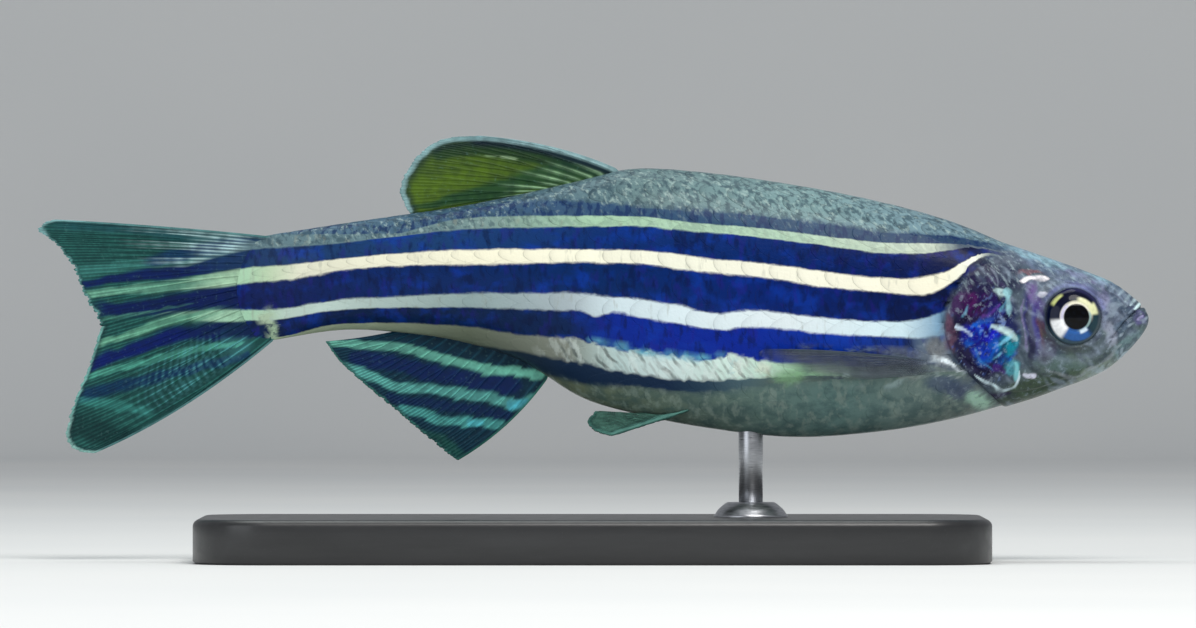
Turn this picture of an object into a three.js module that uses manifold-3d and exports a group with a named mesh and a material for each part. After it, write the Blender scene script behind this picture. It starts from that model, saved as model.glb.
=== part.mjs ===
// A zebra danio as a still, life-size model on a plain display stand.
// Millimetres, +Z up, head toward +X. The origin is on the underside of the stand,
// below the middle of the fish's length. The fish is drawn in its own frame, whose
// zero level is the tip of the lower jaw, and is then lifted onto the stand.

import * as THREE from "three";
import { mergeVertices } from "three/addons/utils/BufferGeometryUtils.js";
import Module from "manifold-3d";

const wasm = await Module();
wasm.setup();

// Driving dimensions
const TOTAL_LENGTH = 45;
const SNOUT_X = TOTAL_LENGTH / 2;
const GAP = 0.25; // between neighbouring pieces
const JAW_LEVEL = 9.8; // height of the jaw tip above what the stand rests on
const TAIL_SWAY = 1.6; // how far the tail tip swings away to the fish's left
const SWAY_START = 2; // the body is straight in front of this x

// Body outline: back, belly and half width at stations from the tail root to the snout.
// The last station is where the outline would be without the rounding of the nose.
const STATIONS = [
  { x: -13.4, back: 3.4, belly: -1.0, half: 0.48 },
  { x: -10.2, back: 3.9, belly: -0.5, half: 0.8 },
  { x: -7.8, back: 4.25, belly: -0.6, half: 1.06 },
  { x: -5.4, back: 4.6, belly: -0.95, half: 1.32 },
  { x: -2.9, back: 5.1, belly: -1.75, half: 1.6 },
  { x: -0.5, back: 5.65, belly: -3.2, half: 1.85 },
  { x: 1.6, back: 6.12, belly: -3.85, half: 2.03 },
  { x: 4.3, back: 6.0, belly: -4.4, half: 2.2 },
  { x: 8.0, back: 5.5, belly: -4.82, half: 2.34 },
  { x: 11.6, back: 4.8, belly: -4.6, half: 2.32 },
  { x: 14.5, back: 4.0, belly: -4.1, half: 2.2 },
  { x: 17.0, back: 3.0, belly: -3.42, half: 2.02 },
  { x: 19.5, back: 2.12, belly: -2.62, half: 1.66 },
  { x: 20.6, back: 1.7, belly: -2.15, half: 1.34 },
  { x: 22.5, back: 0.95, belly: -1.1, half: 0.86 },
];
const NOSE_START = 20.6;
const WIDEST = 0.54; // height of the widest level, as a share of the depth
const SQUARE_TAIL = 2.0; // exponent of the cross-section at the tail root
const SQUARE_HEAD = 2.35; // and at the snout
const RING_POINTS = 36;
const TRUNK_STEP = 1.5;
const HEAD_STEP = 0.62;
const NOSE_RINGS = 6;

// Cuts between the lengths of the body
const TAIL_ROOT = -13.4;
const TRUNK_END = -3.7;
const GILL_SLIT = [[15.8, 5.5], [15.3, 3.2], [14.85, 1.6], [14.15, 0.1], [14.3, -1.1], [15.2, -2.35], [18.2, -5]];
const MOUTH_CLEFT = [[23.2, 1.35], [22.2, 0.5], [21.55, -0.08], [20.95, -0.85]];
const JAW_HINGE = [[20.45, -1.45], [19.7, -3.6]];
const CLEFT_STEPS = 14;
const SLIT_STEPS = 26;
const FAR = 30; // past the body on every side

// Head details
const EYE = { x: 19.35, z: 0.09, radius: 1.17, depth: 0.62, sunk: 0.36, detail: 20 };
const NOSTRILS = [
  { x: 21.18, z: 1.12, radius: 0.17 },
  { x: 20.8, z: 1.3, radius: 0.2 },
];
const PIT_DETAIL = 8;
const GILL_COVER = { x: 15.42, z: -0.6, reachX: 1.75, reachZ: 2.3, thickness: 0.5 };
const LIP_RADIUS = 0.27;
const LIP_SUNK = 0.1;
const LIP_STEPS = 26;

// Fins. Rays run from the base line to the free margin.
const ROOT_THICKNESS = 0.72;
const WEB_THICKNESS = 0.5;
const MARGIN_THICKNESS = 0.36;
const ROOT_SHARE = 0.3; // of a ray's length, over which the root thins to the web
const RIDGE_HEIGHT = 0.11; // of a ray above the web at its root, on each face
const RIDGE_TAPER = 0.55; // share of that height lost by the margin
const RIDGE_SHARE = 0.22; // half width of a ray as a share of the distance between rays

// The stand
const BASE = { length: 32, width: 17, height: 1.8, corner: 3, bevel: 0.3 };
const ROD = { x: 6.4, radius: 0.5, sides: 18, into: 1.1, foot: 0.7 };
const COLLAR = { radius: 1.5, top: 1.05, height: 0.6, sides: 24 };

const lerp = THREE.MathUtils.lerp;
const clamp = THREE.MathUtils.clamp;

// Smooth curve y(x) through points given in order of x
function smooth(points) {
  const slope = points.map((p, i) => {
    const a = points[Math.max(i - 1, 0)];
    const b = points[Math.min(i + 1, points.length - 1)];
    return (b[1] - a[1]) / (b[0] - a[0]);
  });
  return (x) => {
    let i = 0;
    while (i < points.length - 2 && x > points[i + 1][0]) i += 1;
    const [x0, y0] = points[i];
    const [x1, y1] = points[i + 1];
    const h = x1 - x0;
    const t = clamp((x - x0) / h, 0, 1);
    const rise = y1 - y0;
    const a = slope[i] * h - rise;
    const b = rise - slope[i + 1] * h;
    return y0 + t * rise + t * (1 - t) * (a * (1 - t) + b * t);
  };
}

const backLine = smooth(STATIONS.map((s) => [s.x, s.back]));
const bellyLine = smooth(STATIONS.map((s) => [s.x, s.belly]));
const halfLine = smooth(STATIONS.map((s) => [s.x, s.half]));

// Cross-section of the body at x, drawn in by an inset
function section(x, inset = 0) {
  const t = clamp((x - NOSE_START) / (SNOUT_X - NOSE_START), 0, 1);
  const round = Math.sqrt(1 - t * t);
  const back = backLine(x) * round - inset;
  const belly = bellyLine(x) * round + inset;
  const level = belly + WIDEST * (back - belly);
  const along = (x - TAIL_ROOT) / (SNOUT_X - TAIL_ROOT);
  return { back, belly, level, half: halfLine(x) * round - inset, square: lerp(SQUARE_TAIL, SQUARE_HEAD, along) };
}

// Half width of the body at x and level z
function flank(x, z) {
  const s = section(x);
  const reach = z > s.level ? s.back - s.level : s.level - s.belly;
  const share = clamp(Math.abs(z - s.level) / Math.max(reach, 1e-6), 0, 1);
  return s.half * (1 - share ** s.square) ** (1 / s.square);
}

// Level of the underside of the body at x and distance y from the middle
function underside(x, y) {
  const s = section(x);
  const share = clamp(Math.abs(y) / s.half, 0, 1);
  return s.level - (s.level - s.belly) * (1 - share ** s.square) ** (1 / s.square);
}

// Sideways swing of the tail
function sway(x) {
  const t = Math.max(0, (SWAY_START - x) / (SWAY_START + SNOUT_X));
  return TAIL_SWAY * t * t;
}

// Closed solid from points and triangles, turned so that its faces point out
function solidMesh(points, faces) {
  let volume = 0;
  for (const [a, b, c] of faces) {
    volume += points[a].dot(new THREE.Vector3().crossVectors(points[b], points[c]));
  }
  const turned = volume < 0 ? faces.map(([a, b, c]) => [a, c, b]) : faces;
  const geometry = new THREE.BufferGeometry();
  geometry.setAttribute("position", new THREE.Float32BufferAttribute(points.flatMap((p) => p.toArray()), 3));
  geometry.setIndex(turned.flat());
  return geometry;
}

// three.js geometry to a manifold solid, and back
function toSolid(source) {
  const geometry = source.clone();
  geometry.deleteAttribute("normal");
  geometry.deleteAttribute("uv");
  const merged = mergeVertices(geometry, 1e-5);
  return new wasm.Manifold(
    new wasm.Mesh({
      numProp: 3,
      vertProperties: new Float32Array(merged.attributes.position.array),
      triVerts: new Uint32Array(merged.index.array),
    }),
  );
}

function toGeometry(solid) {
  const pieces = solid.decompose();
  const largest = pieces.reduce((best, piece) => (piece.volume() > best.volume() ? piece : best));
  const mesh = largest.getMesh();
  const geometry = new THREE.BufferGeometry();
  geometry.setAttribute("position", new THREE.Float32BufferAttribute(mesh.vertProperties, 3));
  geometry.setIndex([...mesh.triVerts]);
  return geometry;
}

// Solid of the body, drawn in by an inset
function bodySolid(inset = 0) {
  const rows = [];
  for (let x = TAIL_ROOT; x < NOSE_START - HEAD_STEP / 2; x += x < 12.5 ? TRUNK_STEP : HEAD_STEP) rows.push(x);
  for (let i = 0; i < NOSE_RINGS; i += 1) {
    const angle = (i / NOSE_RINGS) * (Math.PI / 2);
    rows.push(NOSE_START + (SNOUT_X - NOSE_START - inset) * Math.sin(angle));
  }
  const points = [];
  for (const x of rows) {
    const s = section(x, inset);
    for (let j = 0; j < RING_POINTS; j += 1) {
      const angle = (j / RING_POINTS) * 2 * Math.PI;
      const up = Math.sin(angle);
      const out = Math.cos(angle);
      const y = s.half * Math.sign(out) * Math.abs(out) ** (2 / s.square);
      const z = Math.sign(up) * Math.abs(up) ** (2 / s.square);
      points.push(new THREE.Vector3(x, y, s.level + z * (up > 0 ? s.back - s.level : s.level - s.belly)));
    }
  }
  const faces = [];
  const last = rows.length - 1;
  for (let i = 0; i < last; i += 1) {
    for (let j = 0; j < RING_POINTS; j += 1) {
      const a = i * RING_POINTS + j;
      const b = i * RING_POINTS + ((j + 1) % RING_POINTS);
      faces.push([a, b, a + RING_POINTS], [b, b + RING_POINTS, a + RING_POINTS]);
    }
  }
  const root = section(TAIL_ROOT, inset);
  const rootCentre = points.push(new THREE.Vector3(TAIL_ROOT, 0, root.level)) - 1;
  const noseTip = points.push(new THREE.Vector3(SNOUT_X - inset, 0, 0)) - 1;
  for (let j = 0; j < RING_POINTS; j += 1) {
    const next = (j + 1) % RING_POINTS;
    faces.push([rootCentre, next, j]);
    faces.push([noseTip, last * RING_POINTS + j, last * RING_POINTS + next]);
  }
  return toSolid(solidMesh(points, faces));
}

// Prism of a side-view outline of [x, z] points, right across the body
function sidePrism(outline) {
  const shape = new THREE.Shape(outline.map(([x, z]) => new THREE.Vector2(x, z)));
  const geometry = new THREE.ExtrudeGeometry(shape, { depth: 2 * FAR, bevelEnabled: false });
  geometry.rotateX(Math.PI / 2);
  geometry.translate(0, FAR, 0);
  return toSolid(geometry);
}

// Even points [x, z] along a smooth curve through a few [x, z] points
function curvePoints(through, steps) {
  const curve = new THREE.CatmullRomCurve3(through.map(([x, z]) => new THREE.Vector3(x, 0, z)));
  return curve.getSpacedPoints(steps).map((p) => [p.x, p.z]);
}

// A curve moved sideways by a distance, to its left as it is drawn
function besideCurve(points, distance) {
  return points.map(([x, z], i) => {
    const [ax, az] = points[Math.max(i - 1, 0)];
    const [bx, bz] = points[Math.min(i + 1, points.length - 1)];
    const length = Math.hypot(bx - ax, bz - az);
    return [x - ((bz - az) / length) * distance, z + ((bx - ax) / length) * distance];
  });
}

// Ellipse in the side view
function sideEllipse(x, z, reachX, reachZ, steps = 40) {
  return Array.from({ length: steps }, (_, i) => {
    const angle = (i / steps) * 2 * Math.PI;
    return [x + reachX * Math.cos(angle), z + reachZ * Math.sin(angle)];
  });
}

function ellipsoid(x, y, z, reachX, reachY, reachZ, detail) {
  const geometry = new THREE.SphereGeometry(1, detail, Math.round(detail * 0.6));
  geometry.rotateX(Math.PI / 2);
  geometry.scale(reachX, reachY, reachZ);
  geometry.translate(x, y, z);
  return geometry;
}

// Body lengths, jaw and gill covers
const slit = curvePoints(GILL_SLIT, SLIT_STEPS);
const cleft = [...curvePoints(MOUTH_CLEFT, CLEFT_STEPS), ...JAW_HINGE];
const headRegion = [...slit, [FAR, -FAR], [FAR, FAR], [slit[0][0], FAR]];
const trunkRegion = [
  ...besideCurve(slit, -GAP),
  [slit.at(-1)[0], -FAR],
  [TRUNK_END + GAP / 2, -FAR],
  [TRUNK_END + GAP / 2, FAR],
  [slit[0][0] - GAP, FAR],
];
const tailRegion = [[-FAR, -FAR], [TRUNK_END - GAP / 2, -FAR], [TRUNK_END - GAP / 2, FAR], [-FAR, FAR]];
const jawRegion = [...besideCurve(cleft, GAP / 2), [cleft.at(-1)[0], -FAR], [FAR, -FAR], [FAR, cleft[0][1]]];
const jawSpace = [...besideCurve(cleft, -GAP / 2), [cleft.at(-1)[0], -FAR], [FAR, -FAR], [FAR, cleft[0][1]]];

// Lips: one bead round the mouth that the cleft then parts into an upper and a lower lip
function lipSolid() {
  const [, ...rows] = curvePoints(MOUTH_CLEFT, CLEFT_STEPS);
  const inside = rows.filter(([x, z]) => x < SNOUT_X - 0.05 && flank(x, z) > 0.12);
  const right = inside.map(([x, z]) => new THREE.Vector3(x - LIP_SUNK, -flank(x, z) + LIP_SUNK, z));
  const left = right.map((p) => new THREE.Vector3(p.x, -p.y, p.z)).reverse();
  const front = new THREE.Vector3(right[0].x + 0.06, 0, right[0].z + 0.05);
  const path = new THREE.CatmullRomCurve3([...right.reverse(), front, ...left.reverse()]);
  const ring = new THREE.Shape();
  ring.absarc(0, 0, LIP_RADIUS, 0, 2 * Math.PI);
  const geometry = new THREE.ExtrudeGeometry(ring, { steps: LIP_STEPS, curveSegments: 4, extrudePath: path });
  return toSolid(geometry);
}

const wholeBody = bodySolid();
const eyeY = flank(EYE.x, EYE.z) - EYE.sunk;

function headSolid() {
  let head = wholeBody.add(lipSolid()).intersect(sidePrism(headRegion)).subtract(sidePrism(jawSpace));
  const under = bodySolid(GILL_COVER.thickness + GAP);
  const { x, z, reachX, reachZ } = GILL_COVER;
  const recess = sidePrism(sideEllipse(x, z, reachX + GAP, reachZ + GAP)).subtract(under);
  head = head.subtract(recess);
  for (const side of [-1, 1]) {
    const socket = ellipsoid(EYE.x, side * eyeY, EYE.z, EYE.radius + GAP, EYE.depth + GAP, EYE.radius + GAP, EYE.detail);
    head = head.subtract(toSolid(socket));
    for (const pit of NOSTRILS) {
      const y = side * flank(pit.x, pit.z);
      head = head.subtract(toSolid(ellipsoid(pit.x, y, pit.z, pit.radius, pit.radius * 1.4, pit.radius, PIT_DETAIL)));
    }
  }
  return head;
}

function jawSolid() {
  return wholeBody.add(lipSolid()).intersect(sidePrism(jawRegion));
}

function gillCoverSolid(side) {
  const { x, z, reachX, reachZ, thickness } = GILL_COVER;
  const half = new THREE.BoxGeometry(2 * FAR, FAR, 2 * FAR);
  half.translate(0, (side * FAR) / 2, 0);
  return wholeBody
    .intersect(sidePrism(sideEllipse(x, z, reachX, reachZ)))
    .intersect(sidePrism(headRegion))
    .subtract(bodySolid(thickness))
    .intersect(toSolid(half));
}

function trunkSolid() {
  const hole = new THREE.CylinderGeometry(ROD.radius + GAP, ROD.radius + GAP, FAR, ROD.sides);
  hole.rotateX(Math.PI / 2);
  hole.translate(ROD.x, 0, bellyLine(ROD.x) + ROD.into + GAP - FAR / 2);
  return wholeBody.intersect(sidePrism(trunkRegion)).subtract(toSolid(hole));
}

// One fin: place(u, v) is its middle surface, u from the base to the margin, v from the first ray to the last
function finGeometry(place, { rays, rows, root = ROOT_THICKNESS }) {
  const columns = [0];
  for (let ray = 0; ray < rays; ray += 1) {
    const centre = (ray + 0.5) / rays;
    const half = RIDGE_SHARE / rays;
    columns.push(centre - half, centre, centre + half);
  }
  columns.push(1);
  const isRidge = (j) => j % 3 === 2 && j < columns.length - 1;
  const step = 1e-3;
  const faceA = [];
  const faceB = [];
  for (let i = 0; i <= rows; i += 1) {
    const u = i / rows;
    const web = u < ROOT_SHARE
      ? lerp(root, WEB_THICKNESS, u / ROOT_SHARE)
      : lerp(WEB_THICKNESS, MARGIN_THICKNESS, (u - ROOT_SHARE) / (1 - ROOT_SHARE));
    columns.forEach((v, j) => {
      const p = place(u, v);
      const alongRay = place(Math.min(u + step, 1), v).sub(place(Math.max(u - step, 0), v));
      const acrossRays = place(u, Math.min(v + step, 1)).sub(place(u, Math.max(v - step, 0)));
      const normal = alongRay.cross(acrossRays).normalize();
      const half = web / 2 + (isRidge(j) ? RIDGE_HEIGHT * (1 - RIDGE_TAPER * u) : 0);
      faceA.push(p.clone().addScaledVector(normal, half));
      faceB.push(p.clone().addScaledVector(normal, -half));
    });
  }
  const wide = columns.length;
  const count = faceA.length;
  const faces = [];
  for (let i = 0; i < rows; i += 1) {
    for (let j = 0; j < wide - 1; j += 1) {
      const a = i * wide + j;
      const b = a + 1;
      const c = a + wide;
      const d = c + 1;
      faces.push([a, b, c], [b, d, c], [count + a, count + c, count + b], [count + b, count + c, count + d]);
    }
    for (const j of [0, wide - 1]) {
      const a = i * wide + j;
      const c = a + wide;
      const wall = [[a, c, count + a], [c, count + c, count + a]];
      faces.push(...(j === 0 ? wall : wall.map((f) => [f[0], f[2], f[1]])));
    }
  }
  for (let j = 0; j < wide - 1; j += 1) {
    for (const i of [0, rows]) {
      const a = i * wide + j;
      const b = a + 1;
      const wall = [[a, count + a, b], [b, count + a, count + b]];
      faces.push(...(i === 0 ? wall : wall.map((f) => [f[0], f[2], f[1]])));
    }
  }
  return solidMesh([...faceA, ...faceB], faces);
}

// Middle surface of a fin on the midline, from its base line, its margin and the bow of its end rays
function midlineFin(base, margin, bowFirst, bowLast) {
  const edge = new THREE.CatmullRomCurve3(margin.map(([x, z]) => new THREE.Vector3(x, 0, z)));
  return (u, v) => {
    const from = base(v);
    const to = edge.getPointAt(v);
    const middle = from.clone().lerp(to, 0.5);
    middle.x += lerp(bowFirst[0], bowLast[0], v);
    middle.z += lerp(bowFirst[1], bowLast[1], v);
    return from
      .multiplyScalar((1 - u) ** 2)
      .addScaledVector(middle, 2 * u * (1 - u))
      .addScaledVector(to, u * u);
  };
}

const DORSAL = {
  front: 0.7,
  rear: -3.35,
  margin: [[-4.6, 7.42], [-6.0, 7.3], [-6.95, 6.75], [-7.6, 5.9], [-7.8, 5.2], [-7.45, 4.66]],
};
const dorsalPlace = midlineFin(
  (v) => {
    const x = lerp(DORSAL.front, DORSAL.rear, v);
    return new THREE.Vector3(x, 0, backLine(x) + GAP);
  },
  DORSAL.margin,
  [0.1, 0.22],
  [0, 0.12],
);

const ANAL = {
  front: -1.85,
  rear: -8.05,
  margin: [[-5.5, -5.75], [-6.6, -4.85], [-7.9, -3.75], [-9.1, -2.75], [-10.2, -1.75], [-10.85, -0.9]],
};
const analPlace = midlineFin(
  (v) => {
    const x = lerp(ANAL.front, ANAL.rear, v);
    return new THREE.Vector3(x, 0, bellyLine(x) - GAP);
  },
  ANAL.margin,
  [0.35, -0.5],
  [0, -0.1],
);

const CAUDAL = {
  x: TAIL_ROOT - GAP,
  root: 0.9,
  top: 3.3,
  fork: 1.2,
  bottom: -0.9,
  upper: [[-22.0, 4.05], [-22.56, 3.66], [-21.8, 3.05], [-21.15, 2.2], [-20.8, 1.4], [-20.4, 0.55], [-19.95, -0.18]],
  lower: [[-19.95, -0.46], [-20.3, -1.5], [-20.8, -2.8], [-21.25, -4.0], [-21.35, -4.85], [-20.95, -5.32], [-20.2, -5.45]],
};
const upperLobePlace = midlineFin(
  (v) => new THREE.Vector3(CAUDAL.x, 0, lerp(CAUDAL.top, CAUDAL.fork + GAP / 2, v)),
  CAUDAL.upper,
  [0.2, 0.12],
  [0, 0.1],
);
const lowerLobePlace = midlineFin(
  (v) => new THREE.Vector3(CAUDAL.x, 0, lerp(CAUDAL.fork - GAP / 2, CAUDAL.bottom, v)),
  CAUDAL.lower,
  [0, 0.1],
  [0, -0.75],
);

// Pectoral fin, folded back along the flank
const PECTORAL = {
  baseTop: [13.85, -1.95],
  baseBottom: [13.95, -2.75],
  margin: [[6.5, -0.95], [6.75, -1.6], [7.9, -2.2], [9.4, -2.6], [11.2, -2.85]],
  spread: 0.75,
};
function pectoralPlace(side) {
  const edge = new THREE.CatmullRomCurve3(PECTORAL.margin.map(([x, z]) => new THREE.Vector3(x, 0, z)));
  return (u, v) => {
    const from = new THREE.Vector3(
      lerp(PECTORAL.baseTop[0], PECTORAL.baseBottom[0], v),
      0,
      lerp(PECTORAL.baseTop[1], PECTORAL.baseBottom[1], v),
    );
    const p = from.lerp(edge.getPointAt(v), u);
    const clear = GAP + ROOT_THICKNESS / 2 + PECTORAL.spread * u ** 1.5;
    return p.setY(side * (flank(p.x, p.z) + clear));
  };
}

// Pelvic fin, spread a little below the belly
const PELVIC = {
  baseFront: [3.7, 1.0],
  baseRear: [3.0, 0.42],
  margin: [[0.5, 1.95, -4.62], [0.0, 1.65, -4.55], [-0.1, 1.15, -4.4], [0.7, 0.62, -4.35]],
};
function pelvicPlace(side) {
  const edge = new THREE.CatmullRomCurve3(PELVIC.margin.map(([x, y, z]) => new THREE.Vector3(x, y, z)));
  return (u, v) => {
    const x = lerp(PELVIC.baseFront[0], PELVIC.baseRear[0], v);
    const y = lerp(PELVIC.baseFront[1], PELVIC.baseRear[1], v);
    const from = new THREE.Vector3(x, y, underside(x, y) - GAP - ROOT_THICKNESS / 2);
    const p = from.lerp(edge.getPointAt(v), u);
    return p.setY(side * p.y);
  };
}

// Materials
function material(color, roughness, metalness) {
  return new THREE.MeshStandardMaterial({ color, roughness, metalness });
}
const looks = {
  head: material(0x76838f, 0.35, 0.2),
  flank: material(0x1c3d7c, 0.35, 0.25),
  gill: material(0x2a55b4, 0.25, 0.4),
  fin: material(0x2f7f8c, 0.45, 0.0),
  paleFin: material(0x9aa79a, 0.5, 0.0),
  eye: material(0x14202c, 0.1, 0.0),
  base: material(0x24262a, 0.4, 0.0),
  rod: material(0xb9bcc0, 0.3, 1.0),
};

const danio = new THREE.Group();
const fish = new THREE.Group();
fish.position.z = JAW_LEVEL;
danio.add(fish);

function addPiece(group, name, geometry, look) {
  const mesh = new THREE.Mesh(geometry, look);
  mesh.name = name;
  group.add(mesh);
}

// A piece of the fish, swung aside with the tail
function addFishPiece(name, geometry, look) {
  const places = geometry.attributes.position;
  for (let i = 0; i < places.count; i += 1) places.setY(i, places.getY(i) + sway(places.getX(i)));
  addPiece(fish, name, geometry, look);
}

function addBody() {
  addFishPiece("head", toGeometry(headSolid()), looks.head);
  addFishPiece("lower_jaw", toGeometry(jawSolid()), looks.head);
  addFishPiece("trunk", toGeometry(trunkSolid()), looks.flank);
  addFishPiece("tail", toGeometry(wholeBody.intersect(sidePrism(tailRegion))), looks.flank);
  for (const [word, side] of [["right", -1], ["left", 1]]) {
    addFishPiece(`gill_cover_${word}`, toGeometry(gillCoverSolid(side)), looks.gill);
    const eye = ellipsoid(EYE.x, side * eyeY, EYE.z, EYE.radius, EYE.depth, EYE.radius, EYE.detail);
    addFishPiece(`eye_${word}`, toGeometry(toSolid(eye)), looks.eye);
  }
}

function addFins() {
  addFishPiece("dorsal_fin", finGeometry(dorsalPlace, { rays: 9, rows: 6 }), looks.paleFin);
  addFishPiece("anal_fin", finGeometry(analPlace, { rays: 13, rows: 6 }), looks.fin);
  addFishPiece("caudal_fin_upper", finGeometry(upperLobePlace, { rays: 9, rows: 7, root: CAUDAL.root }), looks.fin);
  addFishPiece("caudal_fin_lower", finGeometry(lowerLobePlace, { rays: 9, rows: 7, root: CAUDAL.root }), looks.fin);
  for (const [word, side] of [["right", -1], ["left", 1]]) {
    addFishPiece(`pectoral_fin_${word}`, finGeometry(pectoralPlace(side), { rays: 9, rows: 6 }), looks.paleFin);
    addFishPiece(`pelvic_fin_${word}`, finGeometry(pelvicPlace(side), { rays: 7, rows: 4 }), looks.fin);
  }
}

// Flat base with rounded corners and a collar that holds the rod
function addStand() {
  const { length, width, height, corner, bevel } = BASE;
  const halfX = length / 2 - bevel;
  const halfY = width / 2 - bevel;
  const r = corner - bevel;
  const shape = new THREE.Shape();
  shape.absarc(halfX - r, halfY - r, r, 0, Math.PI / 2);
  shape.absarc(-halfX + r, halfY - r, r, Math.PI / 2, Math.PI);
  shape.absarc(-halfX + r, -halfY + r, r, Math.PI, 1.5 * Math.PI);
  shape.absarc(halfX - r, -halfY + r, r, 1.5 * Math.PI, 2 * Math.PI);
  const plate = new THREE.ExtrudeGeometry(shape, {
    depth: height - 2 * bevel,
    bevelThickness: bevel,
    bevelSize: bevel,
    bevelSegments: 1,
    curveSegments: 5,
  });
  plate.translate(0, 0, bevel);
  const collar = new THREE.CylinderGeometry(COLLAR.top, COLLAR.radius, 2 * COLLAR.height, COLLAR.sides);
  collar.rotateX(Math.PI / 2);
  collar.translate(ROD.x, 0, height);
  const hole = new THREE.CylinderGeometry(ROD.radius + GAP, ROD.radius + GAP, FAR, ROD.sides);
  hole.rotateX(Math.PI / 2);
  hole.translate(ROD.x, 0, ROD.foot - GAP + FAR / 2);
  addPiece(danio, "stand_base", toGeometry(toSolid(plate).add(toSolid(collar)).subtract(toSolid(hole))), looks.base);

  const top = JAW_LEVEL + bellyLine(ROD.x) + ROD.into;
  const rod = new THREE.CylinderGeometry(ROD.radius, ROD.radius, top - ROD.foot, ROD.sides);
  rod.rotateX(Math.PI / 2);
  rod.translate(ROD.x, 0, (top + ROD.foot) / 2);
  addPiece(danio, "stand_rod", toGeometry(toSolid(rod)), looks.rod);
}

addBody();
addFins();
addStand();

export default danio;
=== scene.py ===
"""A zebra danio as a still, life-size display model on a plain stand, finished for the camera.

Shapes are worked out in millimetres in the fish's own frame: +X to the head, +Z up, and level
zero at the tip of the lower jaw. They are lifted onto the stand and turned to metres as meshes.
"""

import math

import bmesh
import bpy
import numpy as np
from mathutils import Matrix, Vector


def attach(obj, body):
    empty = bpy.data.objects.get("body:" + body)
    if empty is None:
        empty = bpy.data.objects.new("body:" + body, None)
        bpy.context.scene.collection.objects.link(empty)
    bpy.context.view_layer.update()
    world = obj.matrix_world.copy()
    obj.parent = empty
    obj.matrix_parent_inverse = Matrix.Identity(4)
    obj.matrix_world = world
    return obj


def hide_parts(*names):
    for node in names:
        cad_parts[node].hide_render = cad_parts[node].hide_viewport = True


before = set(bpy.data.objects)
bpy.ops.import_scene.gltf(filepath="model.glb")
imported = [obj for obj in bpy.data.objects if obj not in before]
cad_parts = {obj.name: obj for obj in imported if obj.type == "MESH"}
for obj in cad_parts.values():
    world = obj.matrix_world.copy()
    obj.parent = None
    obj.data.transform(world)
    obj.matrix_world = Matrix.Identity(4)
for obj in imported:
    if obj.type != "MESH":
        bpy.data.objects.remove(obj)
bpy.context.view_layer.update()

# Sizes shared with the solids
MM = 0.001
TOTAL_LENGTH = 45.0
SNOUT_X = TOTAL_LENGTH / 2
JAW_LEVEL = 9.8
TAIL_SWAY = 1.6
SWAY_START = 2.0
TAIL_ROOT = -13.4
NOSE_START = 20.6
WIDEST = 0.54
SQUARE_TAIL = 2.0
SQUARE_HEAD = 2.35
# x, back, belly, half width
STATIONS = (
    (-13.4, 3.4, -1.0, 0.48),
    (-10.2, 3.9, -0.5, 0.8),
    (-7.8, 4.25, -0.6, 1.06),
    (-5.4, 4.6, -0.95, 1.32),
    (-2.9, 5.1, -1.75, 1.6),
    (-0.5, 5.65, -3.2, 1.85),
    (1.6, 6.12, -3.85, 2.03),
    (4.3, 6.0, -4.4, 2.2),
    (8.0, 5.5, -4.82, 2.34),
    (11.6, 4.8, -4.6, 2.32),
    (14.5, 4.0, -4.1, 2.2),
    (17.0, 3.0, -3.42, 2.02),
    (19.5, 2.12, -2.62, 1.66),
    (20.6, 1.7, -2.15, 1.34),
    (22.5, 0.95, -1.1, 0.86),
)
GILL_SLIT = ((15.8, 5.5), (15.3, 3.2), (14.85, 1.6), (14.15, 0.1), (14.3, -1.1), (15.2, -2.35), (18.2, -5.0))
# Where bare skin gives way to scales. It follows the gill slit, then runs forward over the nape.
HEAD_EDGE = (
    (18.2, 5.5), (17.1, 3.2), (16.3, 2.65), (15.6, 2.2), (14.85, 1.5), (14.15, 0.1), (14.3, -1.1),
    (15.2, -2.35), (18.2, -5.0),
)
MOUTH_CLEFT = ((22.42, 0.72), (22.2, 0.5), (21.55, -0.08), (20.95, -0.85))
DEEPEST_HALF_WIDTH = 2.25
DEEPEST_HALF_DEPTH = 5.2
EYE = {"x": 19.35, "z": 0.09, "radius": 1.17, "depth": 0.62, "sunk": 0.36}
PUPIL = {"x": 0.15, "radius": 0.515}

# The photo's frame: its size, and where the model's middle and its floor lie in it
PHOTO_WIDTH = 1196
PHOTO_HEIGHT = 628
PIXELS_PER_MM = 1113 / TOTAL_LENGTH
MIDDLE_COLUMN = 592.5
FLOOR_ROW = 561.5

# Skin and scales
COAT = 0.06  # depth of the skin below the solids where scales lie over it
BARE_DEPTH = 0.015  # and on the head
RING_COLUMNS = 276
CHEEK_START = 13.8  # where the skin's rows draw close together, for the head's relief
TRUNK_STEP = 0.28
CHEEK_STEP = 0.042
SCALE_ROWS = 11  # on each side, from the belly to the back
SCALE_LENGTH = 1.7  # as a multiple of the distance between scales
SCALE_THICKNESS = 0.025
SEED = 11


def rgb(red, green, blue, alpha=1.0):
    """A colour read as 0 to 255, turned to the linear values that shaders take."""
    channels = [c / 255 for c in (red, green, blue)]
    linear = [c / 12.92 if c <= 0.04045 else ((c + 0.055) / 1.055) ** 2.4 for c in channels]
    return (*linear, alpha)


def linear_shade(shade):
    """A colour read as 0 to 255, turned to an array of three linear values."""
    return np.array(rgb(*shade)[:3])


# Curves


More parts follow.
